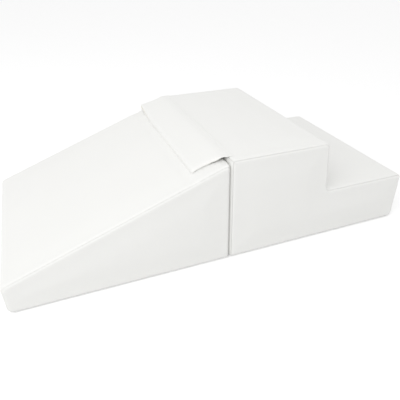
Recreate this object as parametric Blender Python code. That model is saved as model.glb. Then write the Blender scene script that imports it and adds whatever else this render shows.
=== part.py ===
"""Soft play foam climber: a wedge slide and a two-level step block, joined by a padded flap.

Metres, +Z up. The origin is on the floor, under the middle of the join between the modules.
The slide runs from the join towards -X, the steps towards +X, and the near side is -Y.
"""

import math

import bmesh
import bpy
from mathutils import Vector

# The two modules
WIDTH = 0.600
MODULE_LENGTH = 0.594
JOIN_GAP = 0.005
PLATFORM_HEIGHT = 0.308
PLATFORM_LENGTH = 0.298
TREAD_HEIGHT = 0.157
RISER_LEAN = 0.014
JOIN_STEP_DOWN = 0.008
TOE_HEIGHT = 0.083

# How the foam rounds and swells under its cover
EDGE_RADIUS = 0.011
CORNER_RADIUS = 0.016
JOIN_CORNER_RADIUS = 0.013
TOE_RADIUS = 0.018
RISER_FOOT_RADIUS = 0.015
FACE_CROWN = 0.003
END_CROWN = 0.002
CROWN_REACH = 0.070
END_CROWN_REACH = 0.018
JOIN_FACES_APART = 0.0006
SEAM_DEPTH = 0.0014

# Cover, and the clearance between pieces that touch
COVER_THICKNESS = 0.001
CLEARANCE = 0.0003
SEAM_SETBACK = 0.0002

# Flap over the join
FLAP_LENGTH = 0.096
FLAP_SKIN = 0.001
FLAP_PAD = 0.004
FLAP_HINGE_PAST_JOIN = 0.004
FLAP_BEND_LENGTH = 0.030
FLAP_RIM_DROP = 0.002
FLAP_RIM_REACH = 0.008
FLAP_RIM_WALL = 0.0035
FLAP_PAD_START = 0.014
FLAP_NEAR_INSET = 0.028
FLAP_NEAR_INSET_AT_TIP = 0.048
FLAP_FAR_INSET = 0.006
FLAP_FAR_INSET_AT_TIP = 0.012
SEWN_EDGE_REACH = 0.018
HOOK_TAPE_THICKNESS = 0.0012
HOOK_TAPE_WIDTH = 0.044
HOOK_TAPE_FROM_TIP = 0.012
HOOK_TAPE_END_INSET = 0.030
LOOP_TAPE_THICKNESS = 0.0012
LOOP_TAPE_START = 0.037
LOOP_TAPE_WIDTH = 0.050

# Zip of each cover, along its far side
ZIP_HEIGHT = 0.042
ZIP_END_MARGIN = 0.050
ZIP_RECESS = 0.0022
ZIP_FLOOR_HALF = 0.015
ZIP_MOUTH_HALF = 0.022
ZIP_OPENING_HALF = 0.006
ZIP_END_SLOPE = 0.012
ZIP_HIDDEN_END = 0.009
ZIP_FLOOR_OVERRUN = 0.003
ZIP_TAPE_THICKNESS = 0.0005
ZIP_TAPE_HALF = 0.013
ZIP_TAPE_SPLIT = 0.0004
ZIP_COIL_HALF = 0.0028
ZIP_COIL_THICKNESS = 0.0022
ZIP_STOP_LENGTH = 0.004
ZIP_STOP_MARGIN = 0.001

# Slider and pull of each zip
SLIDER_LENGTH = 0.011
SLIDER_WALL = 0.0013
SLIDER_PLATE = 0.0012
BAIL_LENGTH = 0.008
BAIL_POST = 0.0012
BAIL_HALF_WIDTH = 0.0008
BAIL_BAR = 0.0007
PULL_THICKNESS = 0.0009
PULL_ARM = 0.001
PULL_LENGTH = 0.025
PULL_HALF_WIDTH = 0.003
PULL_CORNER = 0.0012

# Places that follow the sizes above
JOIN_X = JOIN_GAP / 2
END_X = JOIN_X + MODULE_LENGTH
RISER_TOP_X = JOIN_X + PLATFORM_LENGTH
RISER_FOOT_X = RISER_TOP_X + RISER_LEAN
SLIDE_TOP_HEIGHT = PLATFORM_HEIGHT - JOIN_STEP_DOWN
SLOPE = math.atan2(SLIDE_TOP_HEIGHT - TOE_HEIGHT, MODULE_LENGTH)
HALF_WIDTH = WIDTH / 2
SEAM_INSET = EDGE_RADIUS * (1 - math.sin(math.pi / 4))
FOAM_DEPTH = COVER_THICKNESS + CLEARANCE
TAPE_ROOM = ZIP_TAPE_THICKNESS + CLEARANCE
HINGE_X = -FLAP_HINGE_PAST_JOIN
FLAP_TOP_Z = PLATFORM_HEIGHT + CLEARANCE + FLAP_SKIN
FLAP_STACK = (
    FACE_CROWN + CLEARANCE + LOOP_TAPE_THICKNESS + CLEARANCE + HOOK_TAPE_THICKNESS
    + CLEARANCE + FLAP_SKIN + CLEARANCE + FLAP_PAD + CLEARANCE + FLAP_SKIN
)

# Where the faces are divided, as shares of the sizes that they cross
SLIDE_COLUMN_SHARES = (0.22, 0.40, 0.60, 0.80, 0.93)
SLIDE_ROW_SHARES = (0.16, 0.40, 0.63, 0.85)
PLATFORM_COLUMN_SHARES = (0.17, 0.55, 0.84)
TREAD_COLUMN_SHARES = (0.16, 0.50, 0.84)
TREAD_ROW_SHARES = (0.30, 0.66)
RISER_ROW_SHARE = 0.52
SIDE_REACH_SHARES = (0.45, 1.0)
FLAP_BEND_SHARES = (0.25, 0.5, 0.75, 1.0)
FLAP_COLUMN_SHARES = (0.25, 0.5, 0.75)

ARC_STEPS = 4
NEAR = 1e-6


def start_empty():
    for obj in list(bpy.data.objects):
        bpy.data.objects.remove(obj)


def make_material(name, colour, roughness, metallic=0.0):
    material = bpy.data.materials.new(name)
    material.use_nodes = True
    shader = material.node_tree.nodes["Principled BSDF"]
    shader.inputs["Base Color"].default_value = (*colour, 1.0)
    shader.inputs["Roughness"].default_value = roughness
    shader.inputs["Metallic"].default_value = metallic
    return material


def make_axis(name, place, parent=None):
    """An empty that the pieces of one moving body hang from, on the axis that they turn about."""
    empty = bpy.data.objects.new(name, None)
    bpy.context.scene.collection.objects.link(empty)
    empty.parent = parent
    empty.location = place - parent.matrix_world.translation if parent else place
    bpy.context.view_layer.update()
    return empty


def make_object(name, bm, material, axis):
    """A piece modelled in world places, stored from its body's axis."""
    bmesh.ops.translate(bm, verts=bm.verts, vec=-axis.matrix_world.translation)
    bmesh.ops.recalc_face_normals(bm, faces=bm.faces)
    mesh = bpy.data.meshes.new(name)
    bm.to_mesh(mesh)
    bm.free()
    mesh.materials.clear()
    mesh.materials.append(material)
    obj = bpy.data.objects.new(name, mesh)
    bpy.context.scene.collection.objects.link(obj)
    obj.parent = axis
    return obj


def smoothstep(share):
    share = max(0.0, min(1.0, share))
    return share * share * (3 - 2 * share)


def rounded_outline(corners):
    """Outline points in X and Z with arcs at the corners, each stretch's panel, and the seam points.

    A corner is (x, z, radius, panel of the stretch that follows it).
    """
    points = []
    panels = []
    seams = []
    for i, (x, z, radius, panel) in enumerate(corners):
        before = corners[i - 1]
        after = corners[(i + 1) % len(corners)]
        here = Vector((x, z))
        back = (Vector(before[:2]) - here).normalized()
        onward = (Vector(after[:2]) - here).normalized()
        half_angle = back.angle(onward) / 2
        centre = here + (back + onward).normalized() * radius / math.sin(half_angle)
        start = (here + back * radius / math.tan(half_angle) - centre).normalized()
        end = (here + onward * radius / math.tan(half_angle) - centre).normalized()
        for step in range(ARC_STEPS + 1):
            points.append(centre + start.slerp(end, step / ARC_STEPS).normalized() * radius)
            panels.append(before[3] if step < ARC_STEPS // 2 else panel)
        if before[3] != panel:
            seams.append(points[-1 - ARC_STEPS // 2])
    return points, panels, seams


def distance_to_stretch(point, start, end):
    along = end - start
    share = (point - start).dot(along) / along.length_squared
    return (point - start - along * max(0.0, min(1.0, share))).length


def nearest_stretch(point, ring):
    """How far a point in X and Z is from a ring of points, and the number of the nearest stretch."""
    return min(
        (distance_to_stretch(point, ring[i], ring[(i + 1) % len(ring)]), i) for i in range(len(ring))
    )


def cut(bm, place, normal, wanted=None):
    """Divides the faces, or the wanted ones, along a plane."""
    faces = [f for f in bm.faces if wanted is None or wanted(f)]
    edges = {e for f in faces for e in f.edges}
    verts = {v for f in faces for v in f.verts}
    bmesh.ops.bisect_plane(
        bm, geom=list(verts) + list(edges) + faces, dist=NEAR, plane_co=place, plane_no=normal
    )


def sweep_outline(outline):
    """The outline swept across the module's width."""
    bm = bmesh.new()
    face = bm.faces.new([bm.verts.new((p.x, -HALF_WIDTH, p.y)) for p in outline])
    swept = bmesh.ops.extrude_face_region(bm, geom=[face])
    moved = [v for v in swept["geom"] if isinstance(v, bmesh.types.BMVert)]
    bmesh.ops.translate(bm, verts=moved, vec=(0, WIDTH, 0))
    bmesh.ops.recalc_face_normals(bm, faces=bm.faces)
    return bm


def divide_faces(bm, columns, rows):
    """Columns are places in X. A row is a height and the place in X that it starts from."""
    for x in columns:
        cut(bm, (x, 0, 0), (1, 0, 0))
    for z, first_x in rows:
        cut(bm, (0, 0, z), (0, 0, 1), lambda face: min(v.co.x for v in face.verts) > first_x)
    for share in SIDE_REACH_SHARES:
        inset = CORNER_RADIUS + share * CROWN_REACH
        cut(bm, (0, HALF_WIDTH - inset, 0), (0, 1, 0))
        cut(bm, (0, inset - HALF_WIDTH, 0), (0, 1, 0))


def zip_columns(side):
    """Places in X that divide the far side at both ends of the zip: slope, floor and opening."""
    floor_start = ZIP_END_MARGIN - ZIP_FLOOR_OVERRUN
    opening_start = ZIP_END_MARGIN + ZIP_HIDDEN_END
    steps = (floor_start - ZIP_END_SLOPE, floor_start, opening_start)
    return [side * (JOIN_X + u) for u in steps] + [side * (END_X - u) for u in steps]


def divide_far_side(bm, side):
    """Finer rows and columns on the far side only, where the zip draws the cover in."""
    slab = HALF_WIDTH - CORNER_RADIUS - SIDE_REACH_SHARES[0] * CROWN_REACH

    def in_slab(face):
        return face.calc_center_median().y > slab

    for x in zip_columns(side):
        cut(bm, (x, 0, 0), (1, 0, 0), in_slab)
    halves = (ZIP_OPENING_HALF, ZIP_FLOOR_HALF, ZIP_MOUTH_HALF)
    for up in (0.0, *halves, *(-half for half in halves)):
        cut(bm, (0, 0, ZIP_HEIGHT + up), (0, 0, 1), in_slab)


def round_side_edges(bm):
    """Rounds the edges round both sides. The middle row of the rounding is the sewn seam."""
    rim = [
        e for e in bm.edges
        if all(abs(abs(v.co.y) - HALF_WIDTH) < NEAR for v in e.verts)
        and min(abs(f.normal.y) for f in e.link_faces) < 0.5
    ]
    bmesh.ops.bevel(
        bm, geom=rim, offset=EDGE_RADIUS, offset_type="OFFSET", segments=ARC_STEPS, profile=0.5,
        affect="EDGES", material=-1, clamp_overlap=False,
    )
    bm.normal_update()


def in_zip_floor(place, side):
    reach = ZIP_END_MARGIN - ZIP_FLOOR_OVERRUN - NEAR
    across = abs(place.z - ZIP_HEIGHT) < ZIP_FLOOR_HALF + NEAR
    return across and JOIN_X + reach < side * place.x < END_X - reach


def in_zip_opening(place, side):
    reach = ZIP_END_MARGIN + ZIP_HIDDEN_END
    across = abs(place.z - ZIP_HEIGHT) < ZIP_OPENING_HALF
    return across and JOIN_X + reach < side * place.x < END_X - reach


def label_panels(bm, outline, panels, names, side):
    """Gives each face the number of the cover panel that it belongs to."""
    for face in bm.faces:
        middle = face.calc_center_median()
        if middle.y < SEAM_INSET - HALF_WIDTH:
            panel = "near_side"
        elif middle.y < HALF_WIDTH - SEAM_INSET:
            panel = panels[nearest_stretch(middle.xz, outline)[1]]
        elif in_zip_opening(middle, side):
            panel = "zip_opening"
        else:
            panel = "far_side" if middle.z > ZIP_HEIGHT else "far_lower"
        face.material_index = names.index(panel)


def crown_at(vert, corners, side):
    """How far the cover stands proud of the flat face at a vertex, as soft foam swells."""
    if vert.normal.z < -0.9:
        return 0.0
    if abs(abs(vert.co.y) - HALF_WIDTH) < NEAR:
        inset = nearest_stretch(vert.co.xz, corners)[0]
    else:
        inset = min([HALF_WIDTH - abs(vert.co.y)] + [(vert.co.xz - c).length for c in corners])
    crown = FACE_CROWN
    reach = CROWN_REACH
    if side * vert.normal.x < -0.9:
        crown = (JOIN_GAP - JOIN_FACES_APART) / 2
    elif abs(side * vert.co.x - END_X) < NEAR:
        crown = END_CROWN
        reach = END_CROWN_REACH
    return crown * smoothstep((inset - CORNER_RADIUS) / reach)


def swell_faces(bm, corners, seams, side):
    """Crowns the faces, sinks the seams and draws the far side in at the zip."""
    floor = bm.verts.layers.float.new("zip_floor")
    moves = []
    for vert in bm.verts:
        width_left = HALF_WIDTH - abs(vert.co.y)
        on_seam = abs(width_left - SEAM_INSET) < NEAR or (
            width_left > SEAM_INSET and any((vert.co.xz - s).length < NEAR for s in seams)
        )
        if abs(vert.co.y - HALF_WIDTH) < NEAR and in_zip_floor(vert.co, side):
            vert[floor] = 1.0
            moves.append((vert, -ZIP_RECESS))
        elif on_seam:
            moves.append((vert, -SEAM_DEPTH))
        else:
            moves.append((vert, crown_at(vert, corners, side)))
    for vert, rise in moves:
        vert.co += vert.normal * rise
    bmesh.ops.triangulate(bm, faces=bm.faces[:])
    bm.normal_update()
    kept = bm.verts.layers.float_vector.new("skin_normal")
    for vert in bm.verts:
        vert[kept] = vert.normal


def make_skin(corners, columns, rows, side, names):
    """The outside surface of a module's cover, closed, each face numbered by its panel."""
    outline, panels, seams = rounded_outline(corners)
    bm = sweep_outline(outline)
    divide_faces(bm, columns, rows)
    divide_far_side(bm, side)
    round_side_edges(bm)
    label_panels(bm, outline, panels, names, side)
    swell_faces(bm, [Vector(c[:2]) for c in corners], seams, side)
    return bm


def thicken(bm, outer, inner):
    """Turns an open sheet cut from a skin into a closed shell between two heights over the skin."""
    kept = bm.verts.layers.float_vector["skin_normal"]
    setbacks = {}
    for vert in bm.verts:
        if vert.is_boundary:
            inwards = sum((f.calc_center_median() - vert.co for f in vert.link_faces), Vector())
            inwards -= inwards.project(vert[kept])
            setbacks[vert] = inwards.normalized() * SEAM_SETBACK
    for vert, setback in setbacks.items():
        vert.co += setback
    for vert in bm.verts:
        vert.co += vert[kept] * outer
    sheet = bmesh.ops.extrude_face_region(bm, geom=bm.faces[:])
    for vert in sheet["geom"]:
        if isinstance(vert, bmesh.types.BMVert):
            vert.co += vert[kept] * (inner - outer)


def panel_shell(skin, number, outer=0.0, inner=-COVER_THICKNESS, wanted=None):
    """One panel of the cover, or a strip laid over part of it."""
    bm = skin.copy()
    unwanted = [
        f for f in bm.faces if f.material_index != number or (wanted and not wanted(f.calc_center_median()))
    ]
    bmesh.ops.delete(bm, geom=unwanted, context="FACES")
    thicken(bm, outer, inner)
    return bm


def foam_block(skin):
    """The foam inside a cover, sunk further behind the zip to leave room for its tapes."""
    bm = skin.copy()
    kept = bm.verts.layers.float_vector["skin_normal"]
    floor = bm.verts.layers.float["zip_floor"]
    for vert in bm.verts:
        vert.co -= vert[kept] * (FOAM_DEPTH + TAPE_ROOM * vert[floor])
    return bm


def slice_block(bm, height, keep_above):
    """Keeps the part of a closed block above or below a level, and closes the cut."""
    bmesh.ops.bisect_plane(
        bm, geom=bm.verts[:] + bm.edges[:] + bm.faces[:], dist=NEAR, plane_co=(0, 0, height),
        plane_no=(0, 0, 1), clear_inner=keep_above, clear_outer=not keep_above,
    )
    bmesh.ops.contextual_create(bm, geom=[e for e in bm.edges if e.is_boundary])
    return bm


def make_box(low, high, rounding=0.0):
    bm = bmesh.new()
    bmesh.ops.create_cube(bm, size=1.0)
    for vert in bm.verts:
        for i in range(3):
            vert.co[i] = high[i] if vert.co[i] > 0 else low[i]
    if rounding:
        bmesh.ops.bevel(
            bm, geom=bm.edges[:], offset=rounding, offset_type="OFFSET", segments=1, profile=0.5,
            affect="EDGES", material=-1, clamp_overlap=True,
        )
    return bm


def make_plate(across, along, skipped, place_top, place_bottom):
    """A plate over a grid of lines, with cells left out, between two surfaces given as functions."""
    bm = bmesh.new()
    bmesh.ops.create_grid(bm, x_segments=len(across) - 1, y_segments=len(along) - 1, size=1.0)
    cell = bm.verts.layers.float_vector.new("cell")

    def grid_lines(place):
        return (place.x + 1) / 2 * (len(across) - 1), (place.y + 1) / 2 * (len(along) - 1)

    for vert in bm.verts:
        i, j = grid_lines(vert.co)
        vert[cell] = (across[round(i)], along[round(j)], 0)
    middles = {face: grid_lines(face.calc_center_median()) for face in bm.faces}
    gone = [face for face, (i, j) in middles.items() if (math.floor(i), math.floor(j)) in skipped]
    bmesh.ops.delete(bm, geom=gone, context="FACES")
    raised = bmesh.ops.extrude_face_region(bm, geom=bm.faces[:])
    top = {v for v in raised["geom"] if isinstance(v, bmesh.types.BMVert)}
    for vert in bm.verts:
        place = place_top if vert in top else place_bottom
        vert.co = place(vert[cell][0], vert[cell][1])
    return bm


def zip_place(side, u, out, up):
    """A place on a zip: u from the join along the cover, out from the recess floor, up from the coil."""
    return Vector((side * (JOIN_X + u), HALF_WIDTH - ZIP_RECESS + out, ZIP_HEIGHT + up))


def zip_box(side, u_span, out_span, up_span, rounding=0.0):
    a = zip_place(side, u_span[0], out_span[0], up_span[0])
    b = zip_place(side, u_span[1], out_span[1], up_span[1])
    low = [min(a[i], b[i]) for i in range(3)]
    high = [max(a[i], b[i]) for i in range(3)]
    return make_box(low, high, rounding)


def add_zip(module, side, axis, looks):
    """Two tapes under the cover, the coil between them, a stop at each end, the slider and its pull."""
    tape_span = (ZIP_END_MARGIN, MODULE_LENGTH - ZIP_END_MARGIN)
    tape_out = (-FOAM_DEPTH - ZIP_TAPE_THICKNESS, -FOAM_DEPTH)
    for name, way in (("upper", 1), ("lower", -1)):
        up_span = (way * ZIP_TAPE_SPLIT, way * ZIP_TAPE_HALF)
        bm = zip_box(side, tape_span, tape_out, up_span)
        make_object(f"{module}_zip_{name}_tape", bm, looks["zip_tape"], axis)

    coil_low = CLEARANCE - FOAM_DEPTH
    coil_high = coil_low + ZIP_COIL_THICKNESS
    first = ZIP_END_MARGIN + ZIP_HIDDEN_END + ZIP_STOP_MARGIN
    last = MODULE_LENGTH - first
    coil_start = first + ZIP_STOP_LENGTH + CLEARANCE
    coil_end = last - ZIP_STOP_LENGTH - CLEARANCE
    half = (-ZIP_COIL_HALF, ZIP_COIL_HALF)
    rounding = ZIP_COIL_THICKNESS / 4
    coil = zip_box(side, (coil_start, coil_end), (coil_low, coil_high), half, rounding)
    make_object(f"{module}_zip_coil", coil, looks["zip_coil"], axis)
    stops = {"top": (first, first + ZIP_STOP_LENGTH), "end": (last - ZIP_STOP_LENGTH, last)}
    for name, span in stops.items():
        stop = zip_box(side, span, (coil_low, coil_high), half, rounding)
        make_object(f"{module}_zip_{name}_stop", stop, looks["zip_metal"], axis)

    add_slider(module, side, axis, looks, coil_start + CLEARANCE, coil_low, coil_high)


def add_slider(module, side, axis, looks, start, low, coil_top):
    """The slider rests at the join end of the coil, and its pull lies flat, away from the join."""
    middle = start + SLIDER_LENGTH / 2
    plate_low = coil_top + CLEARANCE
    plate_top = plate_low + SLIDER_PLATE
    pin = plate_top + CLEARANCE + PULL_THICKNESS / 2
    slider_axis = make_axis(f"{module}_zip_slider_axis", zip_place(side, middle, pin, 0), axis)
    bar_low = pin + PULL_THICKNESS / 2 + CLEARANCE
    inside = ZIP_COIL_HALF + CLEARANCE
    outside = inside + SLIDER_WALL

    section = (
        (-outside, low), (-inside, low), (-inside, plate_low), (inside, plate_low),
        (inside, low), (outside, low), (outside, plate_top), (-outside, plate_top),
    )
    bm = bmesh.new()
    face = bm.faces.new([bm.verts.new(zip_place(side, start, out, up)) for up, out in section])
    swept = bmesh.ops.extrude_face_region(bm, geom=[face])
    moved = [v for v in swept["geom"] if isinstance(v, bmesh.types.BMVert)]
    bmesh.ops.translate(bm, verts=moved, vec=(side * SLIDER_LENGTH, 0, 0))
    slider = make_object(f"{module}_zip_slider", bm, looks["zip_metal"], slider_axis)

    bail = bpy.data.objects.new(f"{module}_zip_bail_shape", bail_mesh(side, middle, plate_top, bar_low))
    bpy.context.scene.collection.objects.link(bail)
    bail.hide_render = True
    bail.display_type = "WIRE"
    union = slider.modifiers.new("bail", "BOOLEAN")
    union.operation = "UNION"
    union.object = bail

    pull_axis = make_axis(f"{module}_zip_pull_axis", zip_place(side, middle, pin, 0), slider_axis)
    window = BAIL_LENGTH / 2 + 2 * CLEARANCE
    arm_inside = BAIL_HALF_WIDTH + CLEARANCE
    arm_outside = arm_inside + PULL_ARM
    along = (-PULL_THICKNESS / 2, PULL_THICKNESS / 2, window, window + PULL_CORNER, PULL_LENGTH)
    across = (-arm_outside, -arm_inside, arm_inside, arm_outside)

    def pull_place(out):
        def place(up, u):
            reach = smoothstep((u - window) / PULL_CORNER)
            widening = 1 + reach * (PULL_HALF_WIDTH / arm_outside - 1)
            return zip_place(side, middle + u, pin + out, up * widening)
        return place

    pull = make_plate(
        across, along, {(1, 1)}, pull_place(PULL_THICKNESS / 2), pull_place(-PULL_THICKNESS / 2)
    )
    make_object(f"{module}_zip_pull", pull, looks["zip_metal"], pull_axis)


def bail_mesh(side, middle, foot, bar_low):
    """The arch on the slider that the pull hangs from, sunk into the slider's plate."""
    end = BAIL_LENGTH / 2
    inner = end - BAIL_POST
    root = foot - SLIDER_PLATE / 2
    arch = (
        (-end, root), (-inner, root), (-inner, bar_low), (inner, bar_low),
        (inner, root), (end, root), (end, bar_low + BAIL_BAR), (-end, bar_low + BAIL_BAR),
    )
    bm = bmesh.new()
    face = bm.faces.new(
        [bm.verts.new(zip_place(side, middle + u, out, -BAIL_HALF_WIDTH)) for u, out in arch]
    )
    swept = bmesh.ops.extrude_face_region(bm, geom=[face])
    moved = [v for v in swept["geom"] if isinstance(v, bmesh.types.BMVert)]
    bmesh.ops.translate(bm, verts=moved, vec=(0, 0, 2 * BAIL_HALF_WIDTH))
    bmesh.ops.recalc_face_normals(bm, faces=bm.faces)
    mesh = bpy.data.meshes.new("bail_shape")
    bm.to_mesh(mesh)
    bm.free()
    return mesh


def flap_line(run):
    """Place in X and Z, and upward normal, of the flap's top at a distance from the hinge."""
    down_ramp = Vector((-math.cos(SLOPE), -math.sin(SLOPE)))
    up_ramp = Vector((-math.sin(SLOPE), math.cos(SLOPE)))
    ramp_top = Vector((-JOIN_X, SLIDE_TOP_HEIGHT))
    start = Vector((HINGE_X, FLAP_TOP_Z))
    landing = ramp_top + down_ramp * FLAP_BEND_LENGTH + up_ramp * FLAP_STACK
    handle = FLAP_BEND_LENGTH / 3
    if run > FLAP_BEND_LENGTH:
        return landing + down_ramp * (run - FLAP_BEND_LENGTH), up_ramp
    p = (start, start + Vector((-handle, 0)), landing - down_ramp * handle, landing)
    t = run / FLAP_BEND_LENGTH
    s = 1 - t
    point = p[0] * s**3 + p[1] * 3 * s * s * t + p[2] * 3 * s * t * t + p[3] * t**3
    along = (p[1] - p[0]) * s * s + (p[2] - p[1]) * 2 * s * t + (p[3] - p[2]) * t * t
    along.normalize()
    return point, Vector((along.y, -along.x))


def flap_ends(run):
    """The flap's near and far ends in Y, which narrow towards its free edge."""
    share = run / FLAP_LENGTH
    near = FLAP_NEAR_INSET + share * (FLAP_NEAR_INSET_AT_TIP - FLAP_NEAR_INSET)
    far = FLAP_FAR_INSET + share * (FLAP_FAR_INSET_AT_TIP - FLAP_FAR_INSET)
    return near - HALF_WIDTH, HALF_WIDTH - far


def flap_surface(height):
    """Turns a height over the flap's top, as a function of run and rim distance, into places.

    Across is a share of the flap's width between its end rows, or a distance in from an end.
    """
    def place(across, run):
        near, far = flap_ends(run)
        end, inset = across
        y = near + inset if end < 0 else far - inset
        if end == 0:
            y = near + (far - near) * inset
            inset = min(y - near, far - y)
        rim = min(inset, FLAP_LENGTH - run)
        point, up = flap_line(run)
        point = point + up * height(run, rim)
        return Vector((point.x, y, point.y))
    return place


def top_height(run, rim):
    return -FLAP_RIM_DROP * (1 - smoothstep(rim / FLAP_RIM_REACH))


def pocket_depth(run, rim):
    """Room for the padding between the two skins."""
    full = smoothstep(rim / FLAP_RIM_REACH) * smoothstep((run - FLAP_PAD_START) / FLAP_RIM_REACH)
    return (FLAP_PAD + CLEARANCE) * full


def below_top(depth, pocket_share):
    """A height a given depth under the flap's top skin, and under a share of its pocket."""
    def height(run, rim):
        return top_height(run, rim) - depth - pocket_share * pocket_depth(run, rim)
    return height


def flap_plate(rows, rim_insets, top, bottom):
    ends = [(-1, inset) for inset in rim_insets]
    middles = [(0, share) for share in FLAP_COLUMN_SHARES]
    columns = ends + middles + [(1, inset) for inset in reversed(rim_insets)]
    lookup = {float(i): column for i, column in enumerate(columns)}

    def on(surface):
        return lambda across, run: surface(lookup[round(across)], run)

    numbers = [float(i) for i in range(len(columns))]
    return make_plate(numbers, rows, set(), on(flap_surface(top)), on(flap_surface(bottom)))


def add_flap(axis, looks):
    """Two skins round a thin pad, and the hook tape under it that holds it down on the ramp."""
    bends = [FLAP_BEND_LENGTH * share for share in FLAP_BEND_SHARES]
    pad_rows = [FLAP_PAD_START + FLAP_RIM_WALL, FLAP_PAD_START + FLAP_RIM_REACH]
    tip_rows = [FLAP_LENGTH - FLAP_RIM_REACH, FLAP_LENGTH - FLAP_RIM_WALL]
    middle = (FLAP_BEND_LENGTH + FLAP_LENGTH) / 2
    rows = sorted(set(pad_rows + tip_rows + bends + [middle]))
    skin_rows = [CLEARANCE] + rows + [FLAP_LENGTH]
    lining_rows = [FLAP_HINGE_PAST_JOIN] + rows + [FLAP_LENGTH]
    insets = [0.0, FLAP_RIM_WALL, FLAP_RIM_REACH]
    lining = FLAP_SKIN + CLEARANCE

    top = flap_plate(skin_rows, insets, top_height, below_top(FLAP_SKIN, 0))
    make_object("flap_top_skin", top, looks["cover"], axis)
    inner_rows = [r for r in rows if pad_rows[0] - NEAR < r < tip_rows[1] + NEAR]
    pad = flap_plate(inner_rows, insets[1:], below_top(lining, 0), below_top(lining - CLEARANCE, 1))
    make_object("flap_padding", pad, looks["foam"], axis)
    bottom = flap_plate(lining_rows, insets, below_top(lining, 1), below_top(lining + FLAP_SKIN, 1))
    make_object("flap_bottom_skin", bottom, looks["cover"], axis)

    tape_top = lining + FLAP_SKIN + CLEARANCE + FLAP_PAD + CLEARANCE
    tape_end = FLAP_LENGTH - HOOK_TAPE_FROM_TIP
    tape = flap_plate(
        [tape_end - HOOK_TAPE_WIDTH, tape_end], [HOOK_TAPE_END_INSET],
        lambda run, rim: -tape_top, lambda run, rim: -tape_top - HOOK_TAPE_THICKNESS,
    )
    make_object("flap_hook_tape", tape, looks["hook"], axis)


def add_sewn_edge(axis, looks):
    """The flap's edge where it is sewn down on the platform, next to the join."""
    near, far = flap_ends(0.0)
    low = (HINGE_X + CLEARANCE, near, FLAP_TOP_Z - FLAP_SKIN)
    bm = make_box(low, (SEWN_EDGE_REACH, far, FLAP_TOP_Z))
    make_object("flap_sewn_edge", bm, looks["cover"], axis)


def slide_row(height):
    """A row on the slide stops well short of the ramp, which it would meet at a shallow angle."""
    under_ramp = height + EDGE_RADIUS + CORNER_RADIUS - TOE_HEIGHT
    return height, -END_X + under_ramp / math.tan(SLOPE) if height > TOE_HEIGHT else -math.inf


def add_slide(axis, looks):
    names = ("ramp", "join", "base", "near_side", "far_side", "far_lower", "zip_opening")
    corners = (
        (-END_X, 0.0, CORNER_RADIUS, "base"),
        (-JOIN_X, 0.0, JOIN_CORNER_RADIUS, "join"),
        (-JOIN_X, SLIDE_TOP_HEIGHT, JOIN_CORNER_RADIUS, "ramp"),
        (-END_X, TOE_HEIGHT, TOE_RADIUS, "ramp"),
    )
    tape_lines = (LOOP_TAPE_START, LOOP_TAPE_START + LOOP_TAPE_WIDTH)
    columns = [-JOIN_X - u for u in tape_lines]
    columns += [-JOIN_X - MODULE_LENGTH * share for share in SLIDE_COLUMN_SHARES]
    rows = [slide_row(SLIDE_TOP_HEIGHT * share) for share in SLIDE_ROW_SHARES]
    skin = make_skin(corners, columns, rows, -1, names)
    make_object("slide_foam_wedge", foam_block(skin), looks["foam"], axis)
    for number, name in enumerate(names[:-1]):
        make_object(f"slide_{name}_panel", panel_shell(skin, number), looks["cover"], axis)

    ends = HALF_WIDTH - CORNER_RADIUS - SIDE_REACH_SHARES[0] * CROWN_REACH

    def under_flap(middle):
        along = tape_lines[0] < -middle.x - JOIN_X < tape_lines[1]
        return along and abs(middle.y) < ends

    tape = panel_shell(skin, 0, CLEARANCE + LOOP_TAPE_THICKNESS, CLEARANCE, under_flap)
    make_object("slide_loop_tape", tape, looks["loop"], axis)
    skin.free()


def add_steps(axis, looks):
    names = ("top", "join", "base", "near_side", "far_side", "far_lower", "zip_opening")

    corners = (
        (JOIN_X, 0.0, JOIN_CORNER_RADIUS, "base"),
        (END_X, 0.0, CORNER_RADIUS, "top"),
        (END_X, TREAD_HEIGHT, CORNER_RADIUS, "top"),
        (RISER_FOOT_X, TREAD_HEIGHT, RISER_FOOT_RADIUS, "top"),
        (RISER_TOP_X, PLATFORM_HEIGHT, CORNER_RADIUS, "top"),
        (JOIN_X, PLATFORM_HEIGHT, JOIN_CORNER_RADIUS, "join"),
    )
    tread_length = END_X - RISER_FOOT_X
    columns = [JOIN_X + PLATFORM_LENGTH * share for share in PLATFORM_COLUMN_SHARES]
    columns += [RISER_FOOT_X + tread_length * share for share in TREAD_COLUMN_SHARES]
    heights = [TREAD_HEIGHT * share for share in TREAD_ROW_SHARES]
    heights.append(TREAD_HEIGHT + (PLATFORM_HEIGHT - TREAD_HEIGHT) * RISER_ROW_SHARE)
    skin = make_skin(corners, columns, [(z, -math.inf) for z in heights], 1, names)
    for number, name in enumerate(names[:-1]):
        make_object(f"steps_{name}_panel", panel_shell(skin, number), looks["cover"], axis)

    # The foam is glued up from a base slab and an upper block, whose foot flares into the tread
    glue_line = TREAD_HEIGHT + FACE_CROWN
    base = slice_block(foam_block(skin), glue_line, keep_above=False)
    make_object("steps_base_foam", base, looks["foam"], axis)
    upper = slice_block(foam_block(skin), glue_line + CLEARANCE, keep_above=True)
    make_object("steps_upper_foam", upper, looks["foam"], axis)
    skin.free()


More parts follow.
